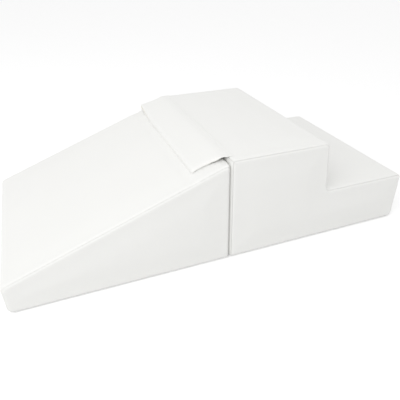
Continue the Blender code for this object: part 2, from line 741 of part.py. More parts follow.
def main():
    start_empty()
    looks = {
        "cover": make_material("white_vinyl", (0.87, 0.87, 0.85), 0.45),
        "foam": make_material("cream_foam", (0.83, 0.79, 0.66), 0.95),
        "hook": make_material("hook_tape", (0.80, 0.80, 0.78), 0.80),
        "loop": make_material("loop_tape", (0.84, 0.84, 0.82), 0.95),
        "zip_tape": make_material("zip_tape", (0.82, 0.82, 0.80), 0.85),
        "zip_coil": make_material("zip_nylon", (0.84, 0.84, 0.82), 0.40),
        "zip_metal": make_material("zip_nickel", (0.62, 0.62, 0.60), 0.30, 1.0),
    }
    slide = make_axis("slide_module", Vector())
    steps = make_axis("steps_module", Vector(), slide)
    hinge = make_axis("flap_hinge", Vector((HINGE_X, 0, FLAP_TOP_Z + CLEARANCE)), steps)
    add_slide(slide, looks)
    add_steps(steps, looks)
    add_zip("slide", -1, slide, looks)
    add_zip("steps", 1, steps, looks)
    add_sewn_edge(steps, looks)
    add_flap(hinge, looks)


main()
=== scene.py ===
"""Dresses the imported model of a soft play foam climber: vinyl covers, seams, flap, zips and foam.

Metres, +Z up, in the frame's own axes. The origin is on the floor under the join, the slide runs
towards -X, the steps towards +X, and the near side is -Y.
"""

import math

import bmesh
import bpy
import numpy as np
from bpy.props import FloatProperty, FloatVectorProperty, PointerProperty
from mathutils import Euler, Matrix, Vector, noise


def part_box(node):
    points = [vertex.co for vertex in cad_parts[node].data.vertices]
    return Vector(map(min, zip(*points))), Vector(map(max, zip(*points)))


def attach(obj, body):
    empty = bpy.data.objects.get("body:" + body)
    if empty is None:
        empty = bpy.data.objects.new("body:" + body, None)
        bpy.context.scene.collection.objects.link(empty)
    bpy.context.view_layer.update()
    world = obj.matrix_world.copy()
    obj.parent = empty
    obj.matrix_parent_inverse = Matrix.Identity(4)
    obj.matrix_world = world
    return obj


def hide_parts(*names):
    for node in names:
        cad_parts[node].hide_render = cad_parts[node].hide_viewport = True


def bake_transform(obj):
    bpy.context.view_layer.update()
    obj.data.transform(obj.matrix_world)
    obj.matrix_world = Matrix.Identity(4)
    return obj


bl_info = {
    "name": "Foam Climber Looks",
    "version": (1, 0, 0),
    "blender": (4, 5, 0),
    "location": "View3D > Sidebar > Climber",
    "description": "Covers, flap, zips and foam of a soft play climber, built round its frame",
    "category": "Object",
}

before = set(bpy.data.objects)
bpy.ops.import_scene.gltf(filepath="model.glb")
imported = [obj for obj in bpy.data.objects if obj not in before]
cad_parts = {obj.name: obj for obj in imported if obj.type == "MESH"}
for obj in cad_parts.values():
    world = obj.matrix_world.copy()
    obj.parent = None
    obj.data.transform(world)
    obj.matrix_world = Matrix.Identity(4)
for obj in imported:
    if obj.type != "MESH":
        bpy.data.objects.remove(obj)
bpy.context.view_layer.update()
STEPS_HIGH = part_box("steps_top_panel")[1]
SIDE_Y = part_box("steps_far_side_panel")[1].y
SEWN_LOW, SEWN_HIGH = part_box("flap_sewn_edge")
FLAP_TIP_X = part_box("flap_top_skin")[0].x

ARC_STEPS = 6
SIDE_STEPS = 8
RIM_STEPS = 6
BEADS_AT_ONCE = 24
NEAR = 1e-5
SHARP_ANGLE = math.radians(50)
CORNER_ANGLE = math.radians(25)
FLAT_ANGLE = math.radians(2)

# How square to an axis a face is, by its normal, and how square to a flat face a fold's middle is
SQUARE = 0.9
NEARLY_SQUARE = 0.8
HALF_SQUARE = 0.5
FOLD_MIDDLE = 0.7

# Rows of faces beside a slanting edge, and how far they run, in corner radii
SLANT_ROWS = (1.0, 1.4, 2.0)
SLANT_REACH = 3.2

# A row on the floor of the zip's recess, and how far the zip's columns run, in half mouths
FLOOR_ROW_SHARE = 0.3
BESIDE_ZIP_SHARE = 1.6

# Where in the noise the sides and the modules read their gathers and waves, so that no two are alike
SIDE_SHIFT = 7.0
FINE_SHIFT = 3.1
COARSE_SHIFT = -1.7
WAVE_SHIFT = 5.3

# How gathers slant, how low and far apart the coarse ones are, and how a seam's valley flattens them
GATHER_SLANT = 0.12
COARSE_SHARE = 0.6
VALLEY_SHARE = 0.6


def length(name, description, default):
    return FloatProperty(name=name, description=description, default=default, unit="LENGTH", precision=4)


def angle(name, description, degrees):
    return FloatProperty(name=name, description=description, default=math.radians(degrees), unit="ROTATION")


def position(name, description, default):
    return FloatVectorProperty(
        name=name, description=description, default=default, subtype="TRANSLATION", unit="LENGTH"
    )


def plain(name, description, default, low=0.0, high=1.0):
    return FloatProperty(name=name, description=description, default=default, min=low, max=high)


def colour(name, description, default):
    return FloatVectorProperty(
        name=name, description=description, default=default, subtype="COLOR", size=3, min=0, max=1
    )


class ClimberCover(bpy.types.PropertyGroup):
    """How the vinyl lies on the foam, on both modules."""

    thickness: length("Vinyl", "Thickness of the vinyl", 0.001)
    clearance: length("Clearance", "Gap between pieces that touch", 0.0003)
    edge_radius: length("Side rounding", "Radius of the rounding along both sides", 0.011)
    corner_radius: length("Corner rounding", "Radius of the folds across the module", 0.016)
    join_radius: length("Join rounding", "Radius of the plain block's folds beside the join", 0.013)
    join_fold: length("Join fold", "Radius of those folds once the foam fills them", 0.005)
    crown: length("Crown", "How far the foam swells each face", 0.003)
    crown_reach: length("Crown reach", "How far in from an edge the swell is full", 0.070)
    end_crown: length("End crown", "Swell of the outer ends", 0.002)
    end_crown_reach: length("End crown reach", "How far in the swell of an end is full", 0.018)
    join_gap: length("Join gap", "Gap between the modules at their edges", 0.005)
    join_swell: length("Join swell", "How far each module's edge swells into the join gap", 0.0008)
    join_apart: length("Join faces apart", "Gap between the modules where they press together", 0.0008)
    foam_room: length("Foam room", "Extra gap between the foam and the vinyl", 0.0008)
    press_start: length("Press start", "How far in from the side they start to press together", 0.004)
    press_full: length("Press full", "How much farther in they fully press together", 0.012)
    seam_depth: length("Seam depth", "How deep a sewn seam draws the vinyl in", 0.0012)
    seam_reach: length("Seam reach", "How wide a seam's valley is, from its middle", 0.0020)
    seam_setback: length("Seam setback", "How far each panel stops short of a seam", 0.0002)
    pucker_height: length("Pucker height", "Height of the small gathers beside a seam", 0.00055)
    pucker_length: length("Pucker length", "Distance between gathers along a seam", 0.016)
    pucker_reach: length("Pucker reach", "How far the gathers run in from a seam", 0.014)
    swell_height: length("Unevenness", "Height of the slow waves in a face", 0.0006)
    swell_length: length("Unevenness length", "Distance between slow waves", 0.130)
    press_depth: length("Pressed depth", "How deep the flap's free edge presses into the ramp", 0.0020)
    press_reach: length("Pressed reach", "How far the ramp is pressed in beside that edge", 0.014)
    spacing: length("Mesh spacing", "Distance between rows of faces before smoothing", 0.010)


class ClimberSlide(bpy.types.PropertyGroup):
    """The wedge slide's own sizes."""

    step_down: length("Step down", "How far the slide's top is below the platform", 0.008)
    toe_height: length("Toe height", "Height of the slide's low end", 0.083)
    toe_radius: length("Toe rounding", "Radius of the rolled toe", 0.018)
    # This share also scales the painted shade in the slide's seams.
    seam_share: plain("Seam share", "How deep the slide's seams are, as a share of the steps'", 0.40)


class ClimberSteps(bpy.types.PropertyGroup):
    """The step block's own sizes."""

    platform_length: length("Platform length", "Length of the upper step", 0.298)
    tread_height: length("Tread height", "Height of the lower step", 0.157)
    riser_lean: length("Riser lean", "How far the riser's foot is out from its top", 0.014)
    riser_foot_radius: length("Riser foot", "Radius where riser and tread meet", 0.015)


class ClimberFlap(bpy.types.PropertyGroup):
    """The padded flap that hides the join."""

    run: length("Length", "From the hinge line to the free edge", 0.096)
    skin: length("Skin", "Thickness of each skin", 0.001)
    pad: length("Padding", "Thickness of the foam inside", 0.004)
    bend: length("Bend", "Length of the bend over the join", 0.030)
    sewn_rounding: length("Sewn rounding", "Rounding of the edge that is sewn down", 0.0015)
    rounding: length("Rounding", "How wide the rounding of the padded edges is", 0.009)
    pad_start: length("Padding start", "Where the padding starts, from the hinge", 0.008)
    pad_full: length("Full padding", "Where the padding is full, from the hinge", 0.022)
    near_inset: length("Near inset", "Near end, in from the side at the hinge", 0.028)
    near_tip_inset: length("Near tip inset", "Near end, in from the side at the tip", 0.0465)
    near_bow: plain("Near bow", "How early the near end draws in", 4.0, 1, 10)
    far_inset: length("Far inset", "Far end, in from the side at the hinge", 0.006)
    far_tip_inset: length("Far tip inset", "Far end, in from the side at the tip", 0.012)
    tape: length("Tape", "Thickness of the hook and of the loop tape", 0.0012)
    hook_width: length("Hook width", "Width of the hook tape", 0.044)
    hook_margin: length("Hook margin", "Hook tape, in from the free edge", 0.012)
    hook_end: length("Hook end", "Hook tape, in from the flap's ends", 0.030)
    near_droop: length("Near droop", "How far the near end hangs down to the ramp", 0.0018)
    near_reach: length("Near droop reach", "How far in the near end hangs", 0.032)
    tip_droop: length("Tip droop", "How far the free edge hangs down", 0.0044)
    tip_reach: length("Tip droop reach", "How far in the free edge hangs", 0.014)
    curl: length("Curl", "How far the far free corner stands up", 0.011)
    curl_back: length("Curl back", "How far the far free corner is drawn back", 0.006)
    puff: plain("Puff", "Share of the curl that the padding fills", 0.85)
    curl_reach: length("Curl reach", "How far along the free edge the corner curls", 0.150)
    wave: length("Wave", "Height of the waves along the free edge", 0.0007)
    wave_length: length("Wave length", "Distance between waves along the free edge", 0.110)
    dent: length("Stitch dent", "How deep a line of stitches draws the skin in", 0.0004)
    dent_reach: length("Stitch dent reach", "How wide a stitched line's valley is", 0.0016)
    spacing: length("Mesh spacing", "Distance between rows of faces", 0.004)


class ClimberZip(bpy.types.PropertyGroup):
    """The zip of each cover, low on its far side."""

    height: length("Height", "Height of the zip over the floor", 0.042)
    margin: length("End margin", "Tape end, in from the module's end", 0.050)
    recess: length("Recess", "How far the vinyl is drawn in beside the zip", 0.0022)
    floor_half: length("Recess floor", "Half the width of the recess", 0.015)
    mouth_half: length("Recess mouth", "Half the width of the recess at the surface", 0.022)
    opening_half: length("Opening", "Half the width of the slot over the coil", 0.006)
    end_slope: length("End slope", "Length of the recess's sloping ends", 0.012)
    hidden_end: length("Hidden end", "How far a tape's end lies under the vinyl", 0.009)
    tooth_pitch: length("Tooth pitch", "Distance between coil teeth", 0.0016)
    tooth_lean: angle("Tooth lean", "Lean of the coil teeth", 14)
    tooth_share: plain("Tooth width", "Half a tooth's width, as a share of the pitch", 0.3)
    tooth_side_share: plain("Tooth side", "How far out a tooth's middle is, as a share", 0.35)
    ripple: length("Tape ripple", "Height of the ripple in a tape", 0.0001)
    softening: length("Softening", "Rounding of the metal parts' edges", 0.00025)
    throat_share: plain("Throat", "How much wider the slider is at its throat", 0.12)


class ClimberThread(bpy.types.PropertyGroup):
    """Sewing thread."""

    radius: length("Radius", "Half the thread's thickness", 0.00032)
    pitch: length("Pitch", "Distance between stitches", 0.0060)
    stitch: length("Stitch", "Length of a stitch", 0.0042)
    across: length("Seam stitch", "Length of a stitch across a seam's valley", 0.0026)
    flap_edge: length("Flap edge", "First line on the flap, in from its sewn edge", 0.0025)
    flap_line_gap: length("Flap line gap", "Distance between the two lines on the flap", 0.008)
    zip_line: length("Zip line", "Line beside a zip, out from its slot", 0.003)


class ClimberFinish(bpy.types.PropertyGroup):
    """Colours and grain."""

    vinyl: colour("Vinyl", "Colour of the cover", (0.87, 0.87, 0.85))
    vinyl_roughness: plain("Vinyl roughness", "Roughness of the cover", 0.46)
    grain: length("Grain", "Size of the vinyl's pebble grain", 0.0013)
    grain_height: length("Grain height", "Height of the vinyl's pebble grain", 0.00006)
    foam: colour("Foam", "Colour of the foam", (0.83, 0.79, 0.66))
    cell_depth: length("Cell depth", "Depth of the foam's cells", 0.0006)
    thread: colour("Thread", "Colour of the thread", (0.86, 0.86, 0.83))
    twist_depth: length("Twist depth", "Depth of the thread's twist", 0.0001)
    tape: colour("Tape", "Colour of zip, hook and loop tapes", (0.82, 0.82, 0.80))
    tape_thread: length("Tape thread", "Width of a thread of the zip tape", 0.0006)
    loop_size: length("Loop size", "Distance between the loops of the loop tape", 0.0011)
    loop_height: length("Loop height", "Height of those loops", 0.0008)
    hook_size: length("Hook size", "Distance between the hooks of the hook tape", 0.0015)
    hook_height: length("Hook height", "Height of those hooks", 0.0009)
    coil: colour("Coil", "Colour of the nylon coil", (0.84, 0.84, 0.82))
    metal: colour("Metal", "Colour of the nickel plating", (0.62, 0.62, 0.60))


class ClimberStage(bpy.types.PropertyGroup):
    """Camera, key lamp, sky and floor."""

    camera_place: position("Camera", "Where the camera stands", (-0.4100, -1.1777, 0.7638))
    yaw: angle("Yaw", "Turn to the right of +Y", 22.867)
    pitch: angle("Pitch", "Tilt below the horizon", 33.058)
    roll: angle("Roll", "Turn about the line of sight", 0.204)
    lens: FloatProperty(name="Lens", description="Focal length", default=37.874, unit="CAMERA")
    shift_x: plain("Shift X", "Sideways shift of the picture", -0.0435, -1, 1)
    shift_y: plain("Shift Y", "Upward shift of the picture", 0.0482, -1, 1)
    floor_radius: length("Floor", "Radius of the floor", 14.0)
    floor_drop: length("Floor drop", "How far the floor is below the climber", 0.0002)
    key_place: position("Key place", "Where the key lamp hangs", (-1.85, -1.7, 2.6))
    key_aim: position("Key aim", "Where the key lamp points", (-0.1, 0.0, 0.15))
    key_power: FloatProperty(name="Key lamp", description="Power", default=42.0, unit="POWER")
    key_size: length("Key size", "Width of the key lamp", 3.0)
    sky: plain("Sky light", "Strength of the light from all round", 0.79, 0, 2)
    floor_colour: colour("Floor colour", "Colour of the floor", (0.80, 0.80, 0.80))
    floor_glow: plain("Floor glow", "White that only the camera sees on the floor", 0.30, 0, 2)


# Materials


def new_node(tree, kind, **values):
    """A shader node. A name with a capital sets a socket, and any other sets the node itself."""
    node = tree.nodes.new(f"ShaderNode{kind}")
    for name, value in values.items():
        if name[0].isupper():
            node.inputs[name.replace("_", " ")].default_value = value
        else:
            setattr(node, name, value)
    return node


def combined(tree, operation, *values):
    """Two values put together by a Math node, each a socket or a number."""
    node = new_node(tree, "Math", operation=operation)
    for socket, value in zip(node.inputs, values):
        if isinstance(value, float):
            socket.default_value = value
        else:
            tree.links.new(value, socket)
    return node.outputs[0]


def seen_by_camera(tree, strength):
    """A strength that only camera, glossy and transmission rays meet."""
    rays = new_node(tree, "LightPath").outputs
    seen = rays["Is Camera Ray"]
    for name in ("Is Glossy Ray", "Is Transmission Ray"):
        seen = combined(tree, "MAXIMUM", seen, rays[name])
    return combined(tree, "MULTIPLY", seen, strength)


class Look:
    """A material with its steady values on the shader's sockets, and textures that vary them."""

    def __init__(self, name, base, roughness, **values):
        self.material = bpy.data.materials.new(name)
        self.material.use_nodes = True
        self.tree = self.material.node_tree
        self.link = self.tree.links.new
        self.sockets = self.tree.nodes["Principled BSDF"].inputs
        self.base = base
        self.normal = None
        self.colour = None
        for socket, value in {"Base Color": (*base, 1.0), "Roughness": roughness, **values}.items():
            self.sockets[socket.replace("_", " ")].default_value = value

    def texture(self, kind, output, stretch=None, **values):
        """A texture over the piece's own places, scaled first along X, Y and Z if need be."""
        places = new_node(self.tree, "TexCoord").outputs["Object"]
        if stretch:
            mapping = new_node(self.tree, "Mapping", Scale=stretch)
            self.link(places, mapping.inputs["Vector"])
            places = mapping.outputs["Vector"]
        texture = new_node(self.tree, f"Tex{kind}", **values)
        self.link(places, texture.inputs["Vector"])
        return texture.outputs[output]

    def shade(self, share):
        return (*(min(1.0, channel * share) for channel in self.base), 1.0)

    def tones(self, factor, low, high):
        """Runs the colour from one share of the base, or from the colour so far, to another share."""
        mix = new_node(self.tree, "Mix", data_type="RGBA")
        self.link(factor, mix.inputs[0])
        if low is None:
            self.link(self.colour, mix.inputs[6])
        else:
            mix.inputs[6].default_value = self.shade(low)
        mix.inputs[7].default_value = self.shade(high)
        self.colour = mix.outputs[2]
        self.link(self.colour, self.sockets["Base Color"])

    def gloss(self, factor, low, high):
        """Varies the roughness over a range."""
        spread = new_node(self.tree, "MapRange", To_Min=low, To_Max=high)
        self.link(factor, spread.inputs["Value"])
        self.link(spread.outputs["Result"], self.sockets["Roughness"])

    def bump(self, height, distance, strength):
        """Raises a grain, over any that is there already."""
        node = new_node(self.tree, "Bump", Distance=distance, Strength=strength)
        self.link(height, node.inputs["Height"])
        if self.normal:
            self.link(self.normal, node.inputs["Normal"])
        self.normal = node.outputs["Normal"]
        self.link(self.normal, self.sockets["Normal"])


def vinyl_look(finish):
    """White faux leather: fine pebble grain, slow colour drift, and painted shade darkening the seams'
    valleys.
    """
    look = Look("white_vinyl", finish.vinyl, finish.vinyl_roughness, Specular_IOR_Level=0.42)
    look.tones(look.texture("Noise", "Fac", Scale=5.0, Detail=3.0, Roughness=0.55), 0.985, 1.012)
    # Painted shade: the seam attribute darkens the colour by up to 7 % in each seam's valley, where shadow
    # falls.
    painted_seam_shade = new_node(look.tree, "Attribute", attribute_name="seam")
    look.tones(painted_seam_shade.outputs["Fac"], None, 0.93)
    scuffs = look.texture("Noise", "Fac", Scale=38.0, Detail=5.0, Roughness=0.65)
    look.gloss(scuffs, finish.vinyl_roughness - 0.07, finish.vinyl_roughness + 0.09)
    pebbles = look.texture(
        "Voronoi", "Distance", feature="SMOOTH_F1", Scale=1 / finish.grain, Randomness=1.0, Smoothness=0.45
    )
    look.bump(pebbles, finish.grain_height, 0.55)
    pores = look.texture("Noise", "Fac", Scale=0.35 / finish.grain, Detail=4.0, Roughness=0.6)
    look.bump(pores, finish.grain_height * 2, 0.35)
    return look


def foam_look(finish):
    """Cut open-cell foam: matt, pale cream, with fine cells."""
    look = Look("cream_foam", finish.foam, 0.96, Specular_IOR_Level=0.12)
    cells = look.texture("Voronoi", "Distance", Scale=620.0, Randomness=1.0)
    look.tones(cells, 0.84, 1.05)
    look.bump(cells, finish.cell_depth, 0.6)
    return look


def woven_look(finish):
    """Woven tape: ribs both ways, thread by thread."""
    look = Look("zip_tape", finish.tape, 0.85, Sheen_Weight=0.25)
    per_rib = math.pi / 10 / finish.tape_thread
    ribs = [
        look.texture("Wave", "Fac", bands_direction=way, Scale=per_rib, Distortion=0.4) for way in "XZ"
    ]
    weave = combined(look.tree, "MULTIPLY", *ribs)
    look.tones(weave, 0.88, 1.04)
    look.bump(weave, finish.tape_thread / 3, 0.7)
    return look


def pile_look(name, base, size, height):
    """Hook or loop tape: a close field of small nubs on a woven ground."""
    look = Look(name, base, 0.92, Sheen_Weight=0.4)
    nubs = look.texture("Voronoi", "Distance", Scale=1 / size, Randomness=0.55)
    look.tones(nubs, 1.03, 0.80)
    look.bump(nubs, height, 0.9)
    return look


def thread_look(finish):
    """Twisted polyester thread."""
    look = Look("white_thread", finish.thread, 0.6, Sheen_Weight=0.3)
    twist = look.texture("Noise", "Fac", Scale=1800.0, Detail=2.0)
    look.tones(twist, 0.88, 1.04)
    look.bump(twist, finish.twist_depth, 0.5)
    return look


def nylon_look(finish):
    """Moulded nylon, slightly uneven in gloss."""
    look = Look("zip_nylon", finish.coil, 0.4)
    patches = look.texture("Noise", "Fac", Scale=240.0, Detail=3.0)
    look.tones(patches, 0.95, 1.03)
    look.gloss(patches, 0.32, 0.5)
    return look


def nickel_look(finish):
    """Nickel plating with fine brush lines along the part."""
    look = Look("zip_nickel", finish.metal, 0.3, Metallic=1.0)
    lines = look.texture("Noise", "Fac", stretch=(200.0, 4000.0, 4000.0), Scale=1.0, Detail=3.0)
    look.tones(lines, 0.9, 1.08)
    look.gloss(lines, 0.2, 0.42)
    return look


LOOKS = {
    "white_vinyl": vinyl_look,
    "cream_foam": foam_look,
    "zip_tape": woven_look,
    "loop_tape": lambda finish: pile_look("loop_tape", finish.tape, finish.loop_size, finish.loop_height),
    "hook_tape": lambda finish: pile_look("hook_tape", finish.tape, finish.hook_size, finish.hook_height),
    "white_thread": thread_look,
    "zip_nylon": nylon_look,
    "zip_nickel": nickel_look,
}


# Shapes shared by the modules


def mesh_of(bm, name):
    """A mesh made from a bmesh, which is let go."""
    mesh = bpy.data.meshes.new(name)
    bm.to_mesh(mesh)
    bm.free()
    return mesh


def new_object(name, data):
    """An object in the scene, at the origin."""
    obj = bpy.data.objects.new(name, data)
    bpy.context.scene.collection.objects.link(obj)
    return obj


def extruded(bm, faces):
    """Extrudes faces in place, and gives the new vertices."""
    parts = bmesh.ops.extrude_face_region(bm, geom=faces)["geom"]
    return [part for part in parts if isinstance(part, bmesh.types.BMVert)]


def smoothstep(share):
    share = np.clip(share, 0.0, 1.0)
    return share * share * (3 - 2 * share)


def noise_at(places, size):
    """Smooth noise from -1 to 1 that repeats about once every size."""
    return np.array([noise.noise(Vector(place)) for place in places / size])


def rounded_outline(corners):
    """Outline points with arcs at the corners, the panel of each stretch, and the seam points."""
    points = []
    panels = []
    seams = []
    for i, (x, z, radius, panel) in enumerate(corners):
        before = corners[i - 1]
        after = corners[(i + 1) % len(corners)]
        here = Vector((x, z))
        back = (Vector(before[:2]) - here).normalized()
        onward = (Vector(after[:2]) - here).normalized()
        half_angle = back.angle(onward) / 2
        centre = here + (back + onward).normalized() * radius / math.sin(half_angle)
        start = (here + back * radius / math.tan(half_angle) - centre).normalized()
        end = (here + onward * radius / math.tan(half_angle) - centre).normalized()
        for step in range(ARC_STEPS + 1):
            points.append(centre + start.slerp(end, step / ARC_STEPS).normalized() * radius)
            panels.append(before[3] if step < ARC_STEPS // 2 else panel)
        if before[3] != panel:
            seams.append(points[-1 - ARC_STEPS // 2])
    return points, panels, seams


def nearest_on_ring(places, ring):
    """How far each place in X and Z is from a closed ring, the nearest place on it, and its stretch."""
    along = np.roll(ring, -1, axis=0) - ring
    offset = places[:, None] - ring[None]
    share = np.clip((offset * along).sum(2) / (along**2).sum(1), 0.0, 1.0)
    feet = ring + share[..., None] * along
    gaps = np.linalg.norm(places[:, None] - feet, axis=2)
    best = gaps.argmin(axis=1)
    rows = np.arange(len(places))
    return gaps[rows, best], feet[rows, best], best


def join_and_end(cover):
    """How far from the join a module's plain block starts and ends."""
    return cover.join_gap / 2 - cover.join_swell, STEPS_HIGH.x - cover.end_crown


class Module:
    """One module's outline and where its cover is divided."""

    def __init__(self, scene, name, side, corners, seam_share=1.0):
        cover = scene.climber_cover
        self.name = name
        self.side = side
        self.seam_share = seam_share
        self.cover = cover
        self.zip = scene.climber_zip
        self.half_width = SIDE_Y - cover.crown
        self.join_x, self.end_x = join_and_end(cover)
        self.corners = np.array([corner[:2] for corner in corners])
        along = self.corners[-1] - self.corners[-2] if side > 0 else self.corners[2] - self.corners[3]
        self.top_normal = np.array((-side * along[1], side * along[0])) / -np.linalg.norm(along)
        self.outline, self.panels, self.seams = rounded_outline(corners)
        self.ring = np.array(self.outline)
        self.seam_inset = cover.edge_radius * (1 - math.sin(math.pi / 4))
        self.names = sorted(set(self.panels)) + ["near_side", "far_side", "far_lower", "zip_opening"]
        self.flap_reach = (SEWN_HIGH.x if side > 0 else -FLAP_TIP_X) + cover.pucker_reach
        low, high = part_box(f"{name}_zip_upper_tape")
        self.zip_ends = low.x - self.zip.margin, high.x + self.zip.margin

    def zip_reach(self, x):
        """How far places are from the nearer end of the cover that the zip was measured from."""
        return np.minimum(x - self.zip_ends[0], self.zip_ends[1] - x)


def slide_module(scene):
    """The slide. A corner is an X, a Z, a radius and the panel after it, anticlockwise from near by."""
    cover = scene.climber_cover
    slide = scene.climber_slide
    join_x, end_x = join_and_end(cover)
    top = STEPS_HIGH.z - cover.crown - slide.step_down
    slope = (top - slide.toe_height) / (end_x - cover.join_gap / 2)
    corners = (
        (-end_x, 0.0, cover.corner_radius, "base"),
        (-join_x, 0.0, cover.join_radius, "join"),
        (-join_x, top + slope * cover.join_swell, cover.join_radius, "ramp"),
        (-end_x, slide.toe_height, slide.toe_radius, "ramp"),
    )
    return Module(scene, "slide", -1, corners, slide.seam_share)


def steps_module(scene):
    """The step block, its corners given as the slide's are."""
    cover = scene.climber_cover
    steps = scene.climber_steps
    join_x, end_x = join_and_end(cover)
    top = STEPS_HIGH.z - cover.crown
    riser_top = cover.join_gap / 2 + steps.platform_length
    corners = (
        (join_x, 0.0, cover.join_radius, "base"),
        (end_x, 0.0, cover.corner_radius, "top"),
        (end_x, steps.tread_height, cover.corner_radius, "top"),
        (riser_top + steps.riser_lean, steps.tread_height, steps.riser_foot_radius, "top"),
        (riser_top, top, cover.corner_radius, "top"),
        (join_x, top, cover.join_radius, "join"),
    )
    return Module(scene, "steps", 1, corners)


def both_modules(scene):
    return slide_module(scene), steps_module(scene)


def cut(bm, place, normal, wanted=None, clear=False):
    """Divides the faces, or the wanted ones, along a plane, or clears what is past it."""
    faces = [face for face in bm.faces if wanted is None or wanted(face)]
    edges = {edge for face in faces for edge in face.edges}
    verts = {vert for face in faces for vert in face.verts}
    bmesh.ops.bisect_plane(
        bm, geom=list(verts) + list(edges) + faces, dist=NEAR, plane_co=place, plane_no=normal,
        clear_outer=clear,
    )


def across_module(edge):
    """How far an edge runs across the module."""
    return abs(edge.verts[0].co.y - edge.verts[1].co.y)


def swept_block(module):
    """The module's outline swept across its width, with both side edges rounded."""
    bm = bmesh.new()
    face = bm.faces.new([bm.verts.new((p.x, -module.half_width, p.y)) for p in module.outline])
    bmesh.ops.translate(bm, verts=extruded(bm, [face]), vec=(0, 2 * module.half_width, 0))
    bmesh.ops.recalc_face_normals(bm, faces=bm.faces)
    rim = [edge for edge in bm.edges if across_module(edge) < NEAR]
    round_edges(bm, rim, module.cover.edge_radius, SIDE_STEPS, False)
    bm.normal_update()
    return bm


def round_edges(bm, edges, width, segments, clamp):
    """Rounds edges to a width, or to less where clamped by a small face beside them."""
    bmesh.ops.bevel(
        bm, geom=edges, offset=width, offset_type="OFFSET", segments=segments, profile=0.5,
        affect="EDGES", material=-1, clamp_overlap=clamp,
    )


def steps_between(low, high, spacing):
    """Even steps between two ends, without the ends."""
    count = max(1, round((high - low) / spacing))
    return [low + (high - low) * (i + 1) / (count + 1) for i in range(count)]


def leaning_stretches(module):
    """Stretches of the outline that neither rows nor columns cross squarely."""
    stretches = zip(module.corners, np.roll(module.corners, -1, axis=0))
    return [(start, end) for start, end in stretches if min(abs(end - start)) > NEAR]


def distance_to(stretch, face):
    """How far the middle of a face is from a stretch of the outline, seen from the side."""
    start, end = stretch
    place = np.array(face.calc_center_median().xz)
    along = end - start
    share = np.clip((place - start) @ along / (along @ along), 0, 1)
    return np.linalg.norm(place - start - share * along)


def divide_block(bm, module):
    """Rows and columns over the whole block, kept off the edges that they would meet at a slant."""
    cover = module.cover
    radius = cover.corner_radius
    slants = leaning_stretches(module)

    def clear_of_slants(face, steep):
        if abs(face.normal.y) < 1 - SQUARE:
            return True
        for stretch in slants:
            run, rise = abs(stretch[1] - stretch[0])
            if (rise > run) == steep and distance_to(stretch, face) < SLANT_ROWS[-1] * radius:
                return False
        return True

    x_low, x_high = sorted((module.side * module.join_x, module.side * module.end_x))
    for x in steps_between(x_low + radius, x_high - radius, cover.spacing):
        cut(bm, (x, 0, 0), (1, 0, 0), lambda face: clear_of_slants(face, True))
    for z in steps_between(radius, module.corners[:, 1].max() - radius, cover.spacing):
        cut(
            bm, (0, 0, z), (0, 0, 1),
            lambda face: abs(face.normal.z) < NEARLY_SQUARE and clear_of_slants(face, False),
        )
    for stretch in slants:
        along = stretch[1] - stretch[0]
        inward = np.array((-along[1], along[0])) / np.linalg.norm(along)
        for row in SLANT_ROWS:
            x, z = stretch[0] + inward * row * radius
            cut(
                bm, (x, 0, z), (inward[0], 0, inward[1]),
                lambda face: abs(face.normal.y) > SQUARE
                and distance_to(stretch, face) < SLANT_REACH * radius,
            )
    divide_zip_side(bm, module)
    across = [edge for edge in bm.edges if across_module(edge) > module.half_width]
    cuts = round(2 * module.half_width / cover.spacing)
    bmesh.ops.subdivide_edges(bm, edges=across, cuts=cuts, use_grid_fill=True)


def divide_zip_side(bm, module):
    """Finer rows and columns on the far side, where the zip draws the vinyl in."""
    sizes = module.zip

    def on_far_side(face):
        return face.calc_center_median().y > module.half_width - module.cover.edge_radius - NEAR

    def beside_zip(face):
        up = abs(face.calc_center_median().z - sizes.height)
        return on_far_side(face) and up < BESIDE_ZIP_SHARE * sizes.mouth_half

    inner = sizes.opening_half + FLOOR_ROW_SHARE * (sizes.floor_half - sizes.opening_half)
    halves = (sizes.opening_half, inner, sizes.floor_half, sizes.mouth_half)
    for up in (0.0, *halves, *(-half for half in halves)):
        cut(bm, (0, 0, sizes.height + up), (0, 0, 1), on_far_side)
    for past in (-sizes.end_slope, 0.0, sizes.hidden_end):
        for x in (module.zip_ends[0] + sizes.margin + past, module.zip_ends[1] - sizes.margin - past):
            cut(bm, (x, 0, 0), (1, 0, 0), beside_zip)


def label_panels(bm, module):
    """Gives each face the number of the cover panel that it belongs to."""
    sizes = module.zip
    faces = list(bm.faces)
    middles = np.array([f.calc_center_median() for f in faces])
    stretches = nearest_on_ring(middles[:, [0, 2]], module.ring)[2]
    slot_end = sizes.margin + sizes.hidden_end
    slot_reach = module.zip_reach(middles[:, 0])
    for face, middle, stretch, reach in zip(faces, middles, stretches, slot_reach):
        up = middle[2] - sizes.height
        if middle[1] < module.seam_inset - module.half_width:
            panel = "near_side"
        elif middle[1] < module.half_width - module.seam_inset:
            panel = module.panels[stretch]
        elif abs(up) < sizes.opening_half and reach > slot_end:
            panel = "zip_opening"
        else:
            panel = "far_side" if up > 0 else "far_lower"
        face.material_index = module.names.index(panel)


def smoothed_mesh(bm, name):
    """The mesh after Catmull-Clark smoothing, with its face numbers kept."""
    mesh = mesh_of(bm, name)
    obj = new_object(name, mesh)
    smooth = obj.modifiers.new("smooth", "SUBSURF")
    smooth.levels = 1
    smooth.boundary_smooth = "ALL"
    evaluated = obj.evaluated_get(bpy.context.evaluated_depsgraph_get())
    result = bpy.data.meshes.new_from_object(evaluated)
    bpy.data.objects.remove(obj)
    bpy.data.meshes.remove(mesh)
    return result


